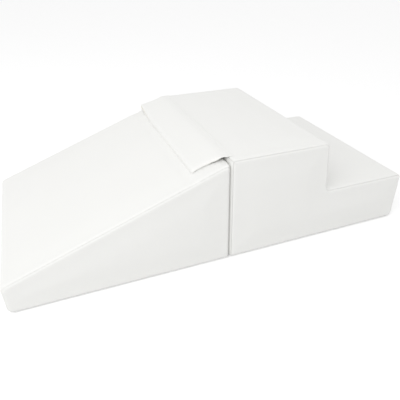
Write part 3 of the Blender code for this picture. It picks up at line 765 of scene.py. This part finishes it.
def crown_of(module, places, normals):
    """How far the foam pushes the cover out, place by place."""
    cover = module.cover
    depth = module.half_width - np.abs(places[:, 1])
    flat = places[:, [0, 2]]
    to_edges = nearest_on_ring(flat, module.corners)[0]
    to_corners = np.linalg.norm(flat[:, None] - module.corners[None], axis=2).min(axis=1)
    inset = np.where(depth < NEAR, to_edges, np.minimum(depth, to_corners))
    outwards = module.side * normals[:, 0]
    at_end = (outwards > SQUARE) & (np.abs(module.side * places[:, 0] - module.end_x) < cover.thickness)
    pressed_flat = (outwards < -SQUARE) | (normals[:, 2] < -SQUARE)
    height = np.where(pressed_flat, 0.0, np.where(at_end, cover.end_crown, cover.crown))
    reach = np.where(at_end, cover.end_crown_reach, cover.crown_reach)
    return height * smoothstep((inset - cover.corner_radius) / reach)


def seam_distance(module, places, gap, depth):
    """Distance over the surface to the nearest sewn seam."""
    radius = module.cover.edge_radius
    turn = np.arctan2(radius - np.minimum(gap, radius), radius - np.minimum(depth, radius))
    distance = radius * np.abs(turn - math.pi / 4)
    distance += np.maximum(gap - radius, 0) + np.maximum(depth - radius, 0)
    flat = places[:, [0, 2]]
    for seam in module.seams:
        across = np.linalg.norm(flat - np.array(seam), axis=1)
        distance = np.where(depth > module.seam_inset, np.minimum(distance, across), distance)
    sizes = module.zip
    beside = np.abs(places[:, 2] - sizes.height)
    past_zip = sizes.margin - module.zip_reach(places[:, 0]) > sizes.end_slope / 2
    on_far = (places[:, 1] > 0) & (depth < module.seam_inset)
    return np.where(on_far & past_zip, np.minimum(distance, beside), distance)


def facing_up(normals):
    """1 where a place faces up, and 0 where it is steep."""
    return smoothstep((normals[:, 2] - HALF_SQUARE) / (NEARLY_SQUARE - HALF_SQUARE))


def under_flap(module, places, normals):
    """1 where the flap lies on the cover and keeps it flat, 0 elsewhere."""
    reach = module.flap_reach - module.side * places[:, 0]
    return smoothstep(reach / module.cover.pucker_reach) * facing_up(normals)


def fold_fill(module, places, normals):
    """How far the foam fills the folds beside the join out to their tighter radius."""
    cover = module.cover
    flat = normals[:, [0, 2]]
    across = np.maximum(np.linalg.norm(flat, axis=1), NEAR)
    faces = np.array(((-module.side, 0.0), (0.0, -1.0), module.top_normal))
    facing = np.clip((flat / across[:, None] @ faces.T).max(axis=1), FOLD_MIDDLE, 1.0)
    beside = module.side * places[:, 0] < module.join_x + cover.join_radius
    return beside * (cover.join_radius - cover.join_fold) * (1 / facing - 1) * across


def lean_on_join(module, places):
    """Moves places beside the join towards it, where the two modules press together."""
    cover = module.cover
    lean = (cover.join_gap - cover.join_apart) / 2 - cover.join_swell
    away = module.side * places[:, 0] - module.join_x
    depth = module.half_width - np.abs(places[:, 1])
    lean *= smoothstep(1 - away / cover.crown_reach)
    places[:, 0] -= module.side * lean * smoothstep((depth - cover.press_start) / cover.press_full)


def pressed(module, places, normals):
    """How deep the flap's free edge presses into the ramp, place by place."""
    cover = module.cover
    past_edge = FLAP_TIP_X - cover.press_reach / 2 - places[:, 0]
    press = cover.press_depth * np.exp(-((past_edge / cover.press_reach) ** 2))
    return press * facing_up(normals)


def loose_skin(module, places, normals, foot, depth, distance, valley):
    """Gathers beside the seams, and slow waves, where neither flap nor join presses the vinyl flat."""
    cover = module.cover
    across = np.sign(places[:, 1]) * SIDE_SHIFT + GATHER_SLANT * depth
    along = np.column_stack((foot[:, 0], across, foot[:, 1]))
    fine = noise_at(along + module.side * FINE_SHIFT, cover.pucker_length)
    coarse = noise_at(along * COARSE_SHARE + module.side * COARSE_SHIFT, cover.pucker_length)
    pucker = (fine + COARSE_SHARE * coarse) * np.exp(-distance / cover.pucker_reach) * cover.pucker_height
    pucker *= 1 - VALLEY_SHARE * valley
    swell = noise_at(places + module.side * WAVE_SHIFT, cover.swell_length) * cover.swell_height
    swell *= smoothstep(distance / (2 * cover.pucker_reach))
    loose = (pucker + swell) * (1 - under_flap(module, places, normals))
    at_join = module.side * normals[:, 0] < -HALF_SQUARE
    loose = np.where(at_join, np.minimum(loose, 0.0) / 2, loose)
    return np.where(normals[:, 2] < -HALF_SQUARE, 0.0, loose)


def zip_recess(module, places, depth):
    """1 on the floor of the zip's recess, and 0 outside it."""
    sizes = module.zip
    past_start = module.zip_reach(places[:, 0]) - sizes.margin + sizes.end_slope
    past_floor = np.abs(places[:, 2] - sizes.height) - sizes.floor_half
    sunk = smoothstep(past_start / sizes.end_slope)
    sunk *= 1 - smoothstep(past_floor / (sizes.mouth_half - sizes.floor_half))
    return sunk * ((places[:, 1] > 0) & (depth < NEAR))


def cover_rise(module, places, normals):
    """How far each place on the plain block moves out, and how deep in a seam it lies."""
    cover = module.cover
    gap, foot, _ = nearest_on_ring(places[:, [0, 2]], module.ring)
    depth = np.maximum(module.half_width - np.abs(places[:, 1]), 0.0)
    distance = seam_distance(module, places, gap, depth)
    valley = np.exp(-((distance / cover.seam_reach) ** 2))
    rise = crown_of(module, places, normals)
    rise += loose_skin(module, places, normals, foot, depth, distance, valley)
    rise += fold_fill(module, places, normals) - pressed(module, places, normals)
    sunk = zip_recess(module, places, depth)
    rise -= sunk * (module.zip.recess + rise)
    # The same share sets the painted shade that the vinyl's colour lays in the valley, so the slide's seam
    # share scales both.
    seam = valley * (1 - sunk) * module.seam_share
    return rise - seam * cover.seam_depth, seam


def cover_skin(module):
    """The outside surface of a module's cover, each face numbered by its panel."""
    bm = swept_block(module)
    divide_block(bm, module)
    label_panels(bm, module)
    mesh = smoothed_mesh(bm, f"{module.name}_skin")
    places, normals = np.zeros((2, len(mesh.vertices), 3))
    mesh.vertices.foreach_get("co", places.ravel())
    mesh.vertex_normals.foreach_get("vector", normals.ravel())
    rise, seam = cover_rise(module, places, normals)
    places += normals * rise[:, None]
    lean_on_join(module, places)
    places[:, 2] = np.maximum(places[:, 2], 0.0)
    mesh.vertices.foreach_set("co", places.ravel())
    # Each place's share of a seam's valley, which the vinyl's colour darkens as painted shade.
    attribute = mesh.attributes.new("seam", "FLOAT", "POINT")
    attribute.data.foreach_set("value", seam.astype(np.float32))
    skin = bmesh.new()
    skin.from_mesh(mesh)
    bpy.data.meshes.remove(mesh)
    keep_normals(skin)
    return skin


def panel_shell(skin, number, thickness, setback):
    """One panel of a cover as a closed shell, set back a little from its seams."""
    bm = skin.copy()
    bmesh.ops.delete(bm, geom=[f for f in bm.faces if f.material_index != number], context="FACES")
    kept = bm.verts.layers.float_vector["skin_normal"]
    moves = []
    for vert in bm.verts:
        if vert.is_boundary:
            inwards = sum((f.calc_center_median() - vert.co for f in vert.link_faces), Vector())
            inwards -= inwards.project(vert[kept])
            moves.append((vert, inwards.normalized() * setback))
    for vert, move in moves:
        vert.co += move
    return thicken(bm, kept, thickness)


def thicken(bm, layer, thickness):
    """Closes an open surface into a shell, whose inner side lies along each place's kept direction."""
    for vert in extruded(bm, bm.faces[:]):
        vert.co -= vert[layer] * thickness
    bmesh.ops.recalc_face_normals(bm, faces=bm.faces)
    return bm


def keep_normals(bm):
    """Keeps each place's present normal, for a shell to be made along it later."""
    bm.normal_update()
    kept = bm.verts.layers.float_vector.new("skin_normal")
    for vert in bm.verts:
        vert[kept] = vert.normal
    return kept


# Thread


def places_along(points, spacing):
    """Places every so far along a line of points, the way there, and the stretch that they are on."""
    wait = spacing / 2
    for number, (start, end) in enumerate(zip(points, points[1:])):
        stretch = (end - start).length
        way = (end - start).normalized()
        while wait < stretch:
            yield start + way * wait, way, number
            wait += spacing
        wait -= stretch


def stitch(place, along, up, span, thread):
    """The place and stretch of one stitch, a long bead that lies on the surface."""
    side = up.cross(along).normalized() * thread.radius
    up = along.cross(side)
    turn = Matrix((side, up, along * span / 2)).transposed().to_4x4()
    return Matrix.Translation(place) @ turn


def beads(places):
    """A bead at each place, made a few at a time, because a bmesh slows as it fills."""
    whole = bmesh.new()
    part = bpy.data.meshes.new("beads")
    for first in range(0, len(places), BEADS_AT_ONCE):
        few = bmesh.new()
        for place in places[first:first + BEADS_AT_ONCE]:
            bmesh.ops.create_uvsphere(few, u_segments=6, v_segments=4, radius=1, matrix=place)
        few.to_mesh(part)
        few.free()
        whole.from_mesh(part)
    bpy.data.meshes.remove(part)
    return whole


def seam_lines(skin, opening):
    """Chains of vertices along the seams between panels, apart from the zip's opening."""
    for edge in skin.edges:
        panels = {face.material_index for face in edge.link_faces}
        edge.tag = len(panels) == 2 and opening not in panels
    lines = []
    for edge in skin.edges:
        if edge.tag:
            line = list(edge.verts)
            following = edge
            while following:
                following.tag = False
                following = next((e for e in line[-1].link_edges if e.tag), None)
                if following:
                    line.append(following.other_vert(line[-1]))
            lines.append(line)
    return lines


def seam_thread(skin, module, thread):
    """Stitches that cross the valley of every seam of a cover."""
    kept = skin.verts.layers.float_vector["skin_normal"]
    stitches = []
    for line in seam_lines(skin, module.names.index("zip_opening")):
        points = [vert.co.copy() for vert in line]
        for place, way, number in places_along(points, thread.pitch):
            up = line[number][kept].normalized()
            middle = place + up * thread.radius / 2
            if middle.z > thread.across:
                across = way.cross(up).normalized()
                stitches.append(stitch(middle, across, up, thread.across, thread))
    return beads(stitches)


# Finished pieces


def finish_piece(bm, name, look, body, slot, *replaces, fill=None):
    """Makes a bmesh a finished piece that moves with a body, or with none yet."""
    for face in bm.faces:
        face.material_index = 0
        face.smooth = True
    mesh = mesh_of(bm, name)
    if "skin_normal" in mesh.attributes:
        mesh.attributes.remove(mesh.attributes["skin_normal"])
    finish = bpy.context.scene.climber_finish
    mesh.materials.clear()
    mesh.materials.append(bpy.data.materials.get(look) or LOOKS[look](finish).material)
    mesh.set_sharp_from_angle(angle=SHARP_ANGLE)
    obj = new_object(name, mesh)
    if body:
        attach(obj, body)
    if replaces:
        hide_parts(*replaces)
    return obj


def finish_metal(bm, name, body, node):
    finish_piece(bm, name, "zip_nickel", body, "zip_metal", node)


def build_cover(module, thread):
    """One shell for each panel of a module's cover, and the thread along its seams."""
    skin = cover_skin(module)
    cover = module.cover
    body = f"{module.name}_module"
    for number, name in enumerate(module.names):
        if name != "zip_opening":
            piece = f"{module.name}_{name}"
            shell = panel_shell(skin, number, cover.thickness, cover.seam_setback)
            finish_piece(shell, f"{piece}_cover", "white_vinyl", body, "cover", f"{piece}_panel", fill=0.9)
    stitches = seam_thread(skin, module, thread)
    finish_piece(stitches, f"{module.name}_seam_thread", "white_thread", body, "cover")
    skin.free()


def foam_block(module):
    """The cut foam inside a cover, closed, a clearance under the vinyl."""
    cover = module.cover
    bm = swept_block(module)
    divide_block(bm, module)
    bm.normal_update()
    places = np.array([vert.co for vert in bm.verts])
    normals = np.array([vert.normal for vert in bm.verts])
    rise, _ = cover_rise(module, places, normals)
    places += normals * (rise - cover.thickness - cover.clearance - cover.foam_room)[:, None]
    lean_on_join(module, places)
    for vert, place in zip(bm.verts, places):
        vert.co = place
    return bm


def keep_part(bm, height, way):
    """Keeps a closed block above a level, way being 1, or below it, -1, and closes the cut."""
    cut(bm, (0, 0, height), (0, 0, -way), clear=True)
    bmesh.ops.holes_fill(bm, edges=[edge for edge in bm.edges if edge.is_boundary], sides=0)
    return bm


# The flap


def upright(flat, y=0.0):
    """A place or a direction in X and Z, stood up in the frame."""
    return Vector((flat.x, y, flat.y))


class Flap:
    """The line that the flap follows down over the join, and how its skins lie about it.

    A run is a distance along that line from the hinge, and is negative on the sewn part.
    """

    def __init__(self, scene):
        self.sizes = scene.climber_flap
        cover = scene.climber_cover
        self.clearance = cover.clearance
        self.half_width = SIDE_Y - cover.crown
        self.hinge = Vector((SEWN_LOW.x - self.clearance, SEWN_HIGH.z))
        self.sewn_run = self.hinge.x - SEWN_HIGH.x
        first_line = self.sewn_run + scene.climber_thread.flap_edge
        self.stitch_runs = first_line, first_line + scene.climber_thread.flap_line_gap
        corners = slide_module(scene).corners
        ramp_top, toe = Vector(corners[2]), Vector(corners[3])
        self.down = (toe - ramp_top).normalized()
        self.up = Vector((self.down.y, -self.down.x))
        self.thickness = 2 * (self.sizes.skin + self.clearance) + self.sizes.pad
        stack = cover.crown + 2 * self.sizes.tape + self.thickness + 3 * self.clearance
        join = ramp_top + self.down * cover.join_swell
        self.landing = join + self.down * self.sizes.bend + self.up * stack

    def line(self, run):
        """The place in X and Z, and the upward normal, of the flap's top."""
        bend = self.sizes.bend
        if run <= 0:
            return self.hinge - Vector((run, 0)), Vector((0, 1))
        if run >= bend:
            return self.landing + self.down * (run - bend), self.up
        first = self.hinge - Vector((bend / 3, 0))
        second = self.landing - self.down * bend / 3
        t = run / bend
        s = 1 - t
        place = self.hinge * s**3 + first * 3 * s * s * t + second * 3 * s * t * t + self.landing * t**3
        along = (first - self.hinge) * s * s + (second - first) * 2 * s * t + (self.landing - second) * t * t
        along.normalize()
        return place, Vector((along.y, -along.x))

    def ends(self, run):
        """The near and far ends in Y, which narrow towards the free edge."""
        flap = self.sizes
        share = max(run, 0) / flap.run
        bowed = 1 - max(0, 1 - share) ** flap.near_bow
        near = flap.near_inset + bowed * (flap.near_tip_inset - flap.near_inset)
        far = flap.far_inset + share * (flap.far_tip_inset - flap.far_inset)
        return near - self.half_width, self.half_width - far

    def padded(self, run):
        """0 where the two skins meet near the hinge, and 1 where the padding is full."""
        return float(smoothstep((run - self.sizes.pad_start) / (self.sizes.pad_full - self.sizes.pad_start)))

    def rounding(self, run):
        flap = self.sizes
        return flap.sewn_rounding + self.padded(run) * (flap.rounding - flap.sewn_rounding)

    def curled(self, run, y):
        """1 at the far free corner, which curls up, and 0 away from it."""
        from_far = self.ends(run)[1] - y
        return float(1 - smoothstep(from_far / self.sizes.curl_reach)) * (max(run, 0) / self.sizes.run) ** 2

    def lift(self, run, y):
        """How far the skins stand off the flap's line, place by place."""
        flap = self.sizes
        share = float(smoothstep(run / flap.bend))
        from_near = y - self.ends(run)[0]
        height = -flap.near_droop * max(0, 1 - from_near / flap.near_reach) ** 2 * share
        height -= flap.tip_droop * max(0, 1 - (flap.run - run) / flap.tip_reach) ** 2
        height += flap.curl * self.curled(run, y)
        wave = noise.noise(Vector((run, y, 0)) / flap.wave_length)
        height += flap.wave * wave * share
        for line in self.stitch_runs:
            height -= flap.dent * math.exp(-(((run - line) / flap.dent_reach) ** 2))
        return height

    def place(self, row, column, depth, inset):
        """The place at a row and a column, the flap's upward normal, and the run, rim and y there.

        A row is a run, the way inwards from it, and how near the rim it is, 1 being on it. A column
        is an end, -1 near or 1 far, and how near its rim, or 0 and a share of the width between.
        """
        run, inwards, row_rim = row
        end, share = column
        column_rim = share if end else 0.0
        rim = max(row_rim, column_rim)
        fit = rim / (math.hypot(row_rim, column_rim) or 1.0)
        run += inwards * self.rounding(run) * (1 - row_rim * fit)
        radius = self.rounding(run)
        near, far = self.ends(run)
        near += inset
        far -= inset
        if end:
            y = (near if end < 0 else far) - end * radius * (1 - column_rim * fit)
        else:
            y = near + radius + share * (far - near - 2 * radius)
        lift = self.lift(run, y)
        flat, up = self.line(run - self.sizes.curl_back * self.curled(run, y))
        flat = flat + up * (lift - depth(run, rim, y))
        return upright(flat, y), upright(up), run, rim, y

    def surface(self, start, end, depth, inset=0.0, rounded=True, wall=lambda *at: 1.0):
        """An open surface from one run to another, at a depth under the flap's line.

        Its layer holds the flap's upward normal, as long as the wall that is to go under it.
        """
        spacing = self.sizes.spacing
        rims = [math.cos(math.pi / 2 * step / RIM_STEPS) for step in range(RIM_STEPS)] if rounded else [1.0]
        low = start + (self.sizes.sewn_rounding if start < 0 else 0)
        high = end - (self.sizes.rounding if rounded else 0)
        runs = [low, *steps_between(low, high, spacing), high]
        for line in self.stitch_runs:
            runs += [line + step * self.sizes.dent_reach for step in (-2, -1, 0, 1, 2)]
        rows = [(start, 1, rim) for rim in rims] if start < 0 else []
        for run in sorted(r for r in runs if low <= r <= high):
            if run - low > self.sizes.dent_reach / 3 or run == low:
                rows.append((run, 0, 0.0))
        if rounded:
            rows += [(end, -1, rim) for rim in reversed(rims)]
        count = round((self.ends(0)[1] - self.ends(0)[0] - 2 * inset) / spacing)
        columns = [(-1, rim) for rim in rims]
        columns += [(0, i / count) for i in range(count + 1)]
        columns += [(1, rim) for rim in reversed(rims)]
        rows.reverse()
        bm = bmesh.new()
        kept = bm.verts.layers.float_vector.new("wall")
        bmesh.ops.create_grid(bm, x_segments=len(rows) - 1, y_segments=len(columns) - 1, size=1)
        for vert in bm.verts:
            row = rows[round((vert.co.x + 1) / 2 * (len(rows) - 1))]
            column = columns[round((vert.co.y + 1) / 2 * (len(columns) - 1))]
            vert.co, up, *at = self.place(row, column, depth, inset)
            vert[kept] = up * wall(*at)
        return bm, kept

    def puffed(self, run, y):
        """How much thicker the padding is than usual, towards the curled corner."""
        return self.sizes.puff * self.sizes.curl * self.curled(run, y)

    def lip(self, run, y):
        """How far the top skin's rim comes down."""
        full = self.sizes.skin + self.padded(run) * (self.sizes.pad + self.clearance)
        return full + self.puffed(run, y)

    def top_skin(self):
        def depth(run, rim, y):
            return self.lip(run, y) * (1 - math.sqrt(1 - rim * rim))

        bm, _ = self.surface(self.sewn_run, self.sizes.run, depth)
        return thicken(bm, keep_normals(bm), self.sizes.skin)

    def lining(self):
        def depth(run, rim, y):
            return self.lip(run, y) + self.clearance

        start = self.sizes.pad_start - self.clearance
        bm, _ = self.surface(start, self.sizes.run, depth, self.clearance)
        return thicken(bm, keep_normals(bm), self.sizes.skin)

    def padding(self):
        flap = self.sizes
        start = flap.pad_start + (flap.pad_full - flap.pad_start) / 3

        def room(run, y):
            return flap.pad * self.padded(run) + self.puffed(run, y)

        def thickness(run, rim, y):
            return room(run, y) * (1 - rim * rim / 2)

        def depth(run, rim, y):
            return flap.skin + self.clearance + (room(run, y) - thickness(run, rim, y)) / 2

        inset = flap.skin + 2 * self.clearance
        bm, wall = self.surface(start, flap.run - inset, depth, inset, wall=thickness)
        return thicken(bm, wall, 1.0)

    def hook_strip(self):
        flap = self.sizes

        def depth(run, rim, y):
            return self.thickness + self.puffed(run, y) + self.clearance

        end = flap.run - flap.hook_margin
        bm, wall = self.surface(end - flap.hook_width, end, depth, flap.hook_end, rounded=False)
        return thicken(bm, wall, flap.tape)

    def stitching(self, thread):
        """Two lines of stitches along the part that is sewn to the platform."""
        stitches = []
        near, far = self.ends(0)
        for run in self.stitch_runs:
            flat, up = self.line(run)
            ends = [upright(flat, end) for end in (near + thread.pitch, far - thread.pitch)]
            for place, along, _ in places_along(ends, thread.pitch):
                place.z += self.lift(run, place.y) + thread.radius / 2
                stitches.append(stitch(place, along, upright(up), thread.stitch, thread))
        return beads(stitches)


def loop_strip(cover_name, flap, clearance):
    """Loop tape, cut to the shape of the cover that it is sewn on."""
    bm = bmesh.new()
    bm.from_mesh(bpy.data.objects[cover_name].data)
    low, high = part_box("slide_loop_tape")
    for x, y in ((1, 0), (0, 1)):
        cut(bm, low, (-x, -y, 0), clear=True)
        cut(bm, high, (x, y, 0), clear=True)
    hidden = [face for face in bm.faces if face.normal.z < HALF_SQUARE]
    bmesh.ops.delete(bm, geom=hidden, context="FACES")
    kept = keep_normals(bm)
    for vert in bm.verts:
        vert.co += vert[kept] * (clearance + flap.tape)
    return thicken(bm, kept, flap.tape)


# Zips


def softened_copy(node, width):
    """A CAD node's shape with its flat faces joined again and its edges rounded."""
    bm = bmesh.new()
    bm.from_mesh(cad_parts[node].data)
    bmesh.ops.remove_doubles(bm, verts=bm.verts, dist=NEAR)
    bmesh.ops.dissolve_limit(bm, angle_limit=FLAT_ANGLE, verts=bm.verts, edges=bm.edges, delimit=set())
    edges = [edge for edge in bm.edges if edge.calc_face_angle(0) > CORNER_ANGLE]
    round_edges(bm, edges, width, 2, True)
    return bm


def zip_tape(node, sizes):
    """A woven strip with a faint ripple in it."""
    low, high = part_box(node)
    middle, half = (low + high) / 2, (high - low) / 2
    bm = bmesh.new()
    rows = round(half.x / sizes.floor_half)
    bmesh.ops.create_grid(bm, x_segments=4 * rows, y_segments=4, size=1)
    for vert in bm.verts:
        x = middle.x - vert.co.x * half.x
        z = middle.z + vert.co.y * half.z
        wave = noise.noise(Vector((x, z, high.z)) / sizes.mouth_half)
        vert.co = x, high.y - sizes.ripple * (1 + wave), z
    return thicken(bm, keep_normals(bm), high.y - low.y - 2 * sizes.ripple)


def zip_teeth(node, sizes):
    """The turns of a coil zip, as beads that lean in from either side by turns."""
    low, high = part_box(node)
    middle, half = (low + high) / 2, (high - low) / 2
    pitch = sizes.tooth_pitch
    out = half.z * sizes.tooth_side_share
    shape = Matrix.Diagonal((pitch * sizes.tooth_share, half.y, half.z - out, 1))
    teeth = []
    for number in range(int(4 * half.x / pitch)):
        way = 1 if number % 2 else -1
        place = (low.x + (number + 0.5) * pitch / 2, middle.y, middle.z + way * out)
        lean = Matrix.Rotation(way * sizes.tooth_lean, 4, "Y")
        teeth.append(Matrix.Translation(place) @ lean @ shape)
    return beads(teeth)


def zip_slider(node, side, sizes):
    """The slider, wider at the throat that faces the join, with its bail."""
    bm = softened_copy(node, sizes.softening)
    low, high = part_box(node)
    for vert in bm.verts:
        share = (vert.co.x - low.x) / (high.x - low.x)
        throat = 1 - share if side > 0 else share
        vert.co.z = sizes.height + (vert.co.z - sizes.height) * (1 + sizes.throat_share * throat**2)
    return bm


def zip_pull(node, sizes):
    """The pull, with a raised rim round its face."""
    bm = softened_copy(node, sizes.softening)
    face = max(bm.faces, key=lambda face: face.calc_area() if face.normal.y > SQUARE else 0)
    bmesh.ops.inset_region(bm, faces=[face], thickness=2 * sizes.softening, use_even_offset=True)
    bmesh.ops.translate(bm, verts=face.verts, vec=(0, -sizes.softening, 0))
    return bm


def zip_stitching(module, thread):
    """A line of stitches above and below the zip."""
    stitches = []
    sizes = module.zip
    inset = sizes.margin + sizes.hidden_end
    y = module.half_width - sizes.recess + thread.radius / 2
    for way in (1, -1):
        z = sizes.height + way * (sizes.opening_half + thread.zip_line)
        ends = [Vector((x, y, z)) for x in (module.zip_ends[0] + inset, module.zip_ends[1] - inset)]
        for place, along, _ in places_along(ends, thread.pitch):
            stitches.append(stitch(place, along, Vector((0, 1, 0)), thread.stitch, thread))
    return beads(stitches)


# Operators


class CLIMBER_OT_stage(bpy.types.Operator):
    """Camera, key lamp, sky and floor"""

    bl_idname = "climber.stage"
    bl_label = "Stage"

    def execute(self, context):
        stage = context.scene.climber_stage
        self.add_camera(context, stage)
        self.add_floor(stage)
        self.add_sky(context, stage)
        self.add_lamp(stage)
        context.scene.view_settings.view_transform = "Standard"
        return {"FINISHED"}

    def add_camera(self, context, stage):
        data = bpy.data.cameras.new("camera")
        data.lens = stage.lens
        data.shift_x = stage.shift_x
        data.shift_y = stage.shift_y
        camera = new_object("camera", data)
        turn = Euler((math.pi / 2 - stage.pitch, 0, -stage.yaw)).to_matrix()
        turn = turn @ Matrix.Rotation(stage.roll, 3, "Z")
        camera.matrix_world = Matrix.Translation(stage.camera_place) @ turn.to_4x4()
        context.scene.camera = camera

    def add_floor(self, stage):
        bm = bmesh.new()
        bmesh.ops.create_circle(bm, cap_ends=True, segments=96, radius=stage.floor_radius)
        bmesh.ops.translate(bm, verts=bm.verts, vec=(0, 0, -stage.floor_drop))
        mesh = mesh_of(bm, "floor")
        look = Look(
            "pale_floor", stage.floor_colour, 0.9, Specular_IOR_Level=0.1, Emission_Color=(1, 1, 1, 1)
        )
        look.link(seen_by_camera(look.tree, stage.floor_glow), look.sockets["Emission Strength"])
        mesh.materials.append(look.material)
        floor = new_object("floor", mesh)

    def add_sky(self, context, stage):
        world = bpy.data.worlds.new("studio_sky")
        context.scene.world = world
        world.use_nodes = True
        tree = world.node_tree
        sky = tree.nodes["Background"].inputs
        sky["Color"].default_value = (1, 1, 1, 1)
        seen = seen_by_camera(tree, 1.0 - stage.sky)
        tree.links.new(combined(tree, "ADD", seen, stage.sky), sky["Strength"])

    def add_lamp(self, stage):
        data = bpy.data.lights.new("key_lamp", "AREA")
        data.energy = stage.key_power
        data.shape = "DISK"
        data.size = stage.key_size
        lamp = new_object("key_lamp", data)
        place = Vector(stage.key_place)
        aim = (Vector(stage.key_aim) - place).to_track_quat("-Z", "Y")
        lamp.matrix_world = Matrix.LocRotScale(place, aim, None)


class CLIMBER_OT_covers(bpy.types.Operator):
    """The covers of the slide and of the step block, panel by panel"""

    bl_idname = "climber.covers"
    bl_label = "Covers"

    def execute(self, context):
        for module in both_modules(context.scene):
            build_cover(module, context.scene.climber_thread)
        return {"FINISHED"}


class CLIMBER_OT_foam(bpy.types.Operator):
    """The foam blocks inside the covers"""

    bl_idname = "climber.foam"
    bl_label = "Foam"

    def execute(self, context):
        slide, steps = both_modules(context.scene)
        glue_line = context.scene.climber_steps.tread_height + steps.cover.crown
        wedge = foam_block(slide)
        lower = keep_part(foam_block(steps), glue_line, -1)
        upper = keep_part(foam_block(steps), glue_line + steps.cover.clearance, 1)
        for block, name, body, node in (
            (wedge, "slide_foam", "slide_module", "slide_foam_wedge"),
            (lower, "steps_lower_foam", "steps_module", "steps_base_foam"),
            (upper, "steps_block_foam", "steps_module", "steps_upper_foam"),
        ):
            finish_piece(block, name, "cream_foam", body, "foam", node, fill=1.0)
        return {"FINISHED"}


class CLIMBER_OT_flap(bpy.types.Operator):
    """The padded flap over the join, its stitches, and its hook and loop tape"""

    bl_idname = "climber.flap"
    bl_label = "Flap"

    def execute(self, context):
        scene = context.scene
        flap = Flap(scene)
        top = finish_piece(
            flap.top_skin(), "flap_top_cover", "white_vinyl", None, "cover",
            "flap_sewn_edge", "flap_top_skin", fill=0.7,
        )
        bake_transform(top)
        finish_piece(
            flap.lining(), "flap_underside_cover", "white_vinyl", "flap", "cover",
            "flap_bottom_skin", fill=0.7,
        )
        finish_piece(flap.padding(), "flap_pad", "cream_foam", "flap", "foam", "flap_padding", fill=1.0)
        finish_piece(flap.hook_strip(), "flap_hook_strip", "hook_tape", "flap", "hook_tape", "flap_hook_tape")
        finish_piece(
            loop_strip("slide_ramp_cover", scene.climber_flap, flap.clearance), "slide_loop_strip",
            "loop_tape", "slide_module", "loop_tape", "slide_loop_tape",
        )
        stitches = flap.stitching(scene.climber_thread)
        finish_piece(stitches, "flap_stitching", "white_thread", "steps_module", "cover")
        return {"FINISHED"}


class CLIMBER_OT_zips(bpy.types.Operator):
    """The zip in each cover: tapes, teeth, end clips, slider, pull and topstitching"""

    bl_idname = "climber.zips"
    bl_label = "Zips"

    def execute(self, context):
        for module in both_modules(context.scene):
            self.add_zip(module, context.scene.climber_thread)
        return {"FINISHED"}

    def add_zip(self, module, thread):
        sizes = module.zip
        name = f"{module.name}_zip"
        body = f"{module.name}_module"
        for node in (f"{name}_upper_tape", f"{name}_lower_tape"):
            finish_piece(zip_tape(node, sizes), f"{node}_cloth", "zip_tape", body, "zip_tape", node)
        coil = f"{name}_coil"
        finish_piece(zip_teeth(coil, sizes), f"{name}_teeth", "zip_nylon", body, "zip_coil", coil)
        slider = f"{name}_slider"
        pull = f"{name}_pull"
        for end in ("top", "end"):
            node = f"{name}_{end}_stop"
            clip = softened_copy(node, sizes.softening)
            finish_metal(clip, f"{name}_{end}_clip", body, node)
        finish_metal(zip_slider(slider, module.side, sizes), f"{slider}_body", slider, slider)
        finish_metal(zip_pull(pull, sizes), f"{pull}_tab", pull, pull)
        stitches = zip_stitching(module, thread)
        finish_piece(stitches, f"{name}_stitching", "white_thread", body, "cover")


class CLIMBER_PT_panel(bpy.types.Panel):
    """Lists the climber's pieces"""

    bl_idname = "CLIMBER_PT_panel"
    bl_label = "Foam Climber"
    bl_space_type = "VIEW_3D"
    bl_region_type = "UI"
    bl_category = "Climber"

    def draw(self, context):
        for operator in OPERATORS:
            self.layout.operator(operator.bl_idname)
        for attribute, _ in GROUPS:
            box = self.layout.box()
            settings = getattr(context.scene, attribute)
            for name in settings.bl_rna.properties.keys():
                if name not in ("rna_type", "name"):
                    box.prop(settings, name)


GROUPS = (
    ("climber_cover", ClimberCover),
    ("climber_slide", ClimberSlide),
    ("climber_steps", ClimberSteps),
    ("climber_flap", ClimberFlap),
    ("climber_zip", ClimberZip),
    ("climber_thread", ClimberThread),
    ("climber_finish", ClimberFinish),
    ("climber_stage", ClimberStage),
)

OPERATORS = (
    CLIMBER_OT_stage,
    CLIMBER_OT_covers,
    CLIMBER_OT_foam,
    CLIMBER_OT_flap,
    CLIMBER_OT_zips,
)


def register():
    for attribute, group in GROUPS:
        bpy.utils.register_class(group)
        setattr(bpy.types.Scene, attribute, PointerProperty(type=group))
    for operator in OPERATORS:
        bpy.utils.register_class(operator)
    bpy.utils.register_class(CLIMBER_PT_panel)


def unregister():
    bpy.utils.unregister_class(CLIMBER_PT_panel)
    for operator in reversed(OPERATORS):
        bpy.utils.unregister_class(operator)
    for attribute, group in reversed(GROUPS):
        delattr(bpy.types.Scene, attribute)
        bpy.utils.unregister_class(group)


def main():
    register()
    bpy.ops.climber.stage()
    bpy.ops.climber.covers()
    bpy.ops.climber.foam()
    bpy.ops.climber.flap()
    bpy.ops.climber.zips()


if __name__ == "__main__":
    main()
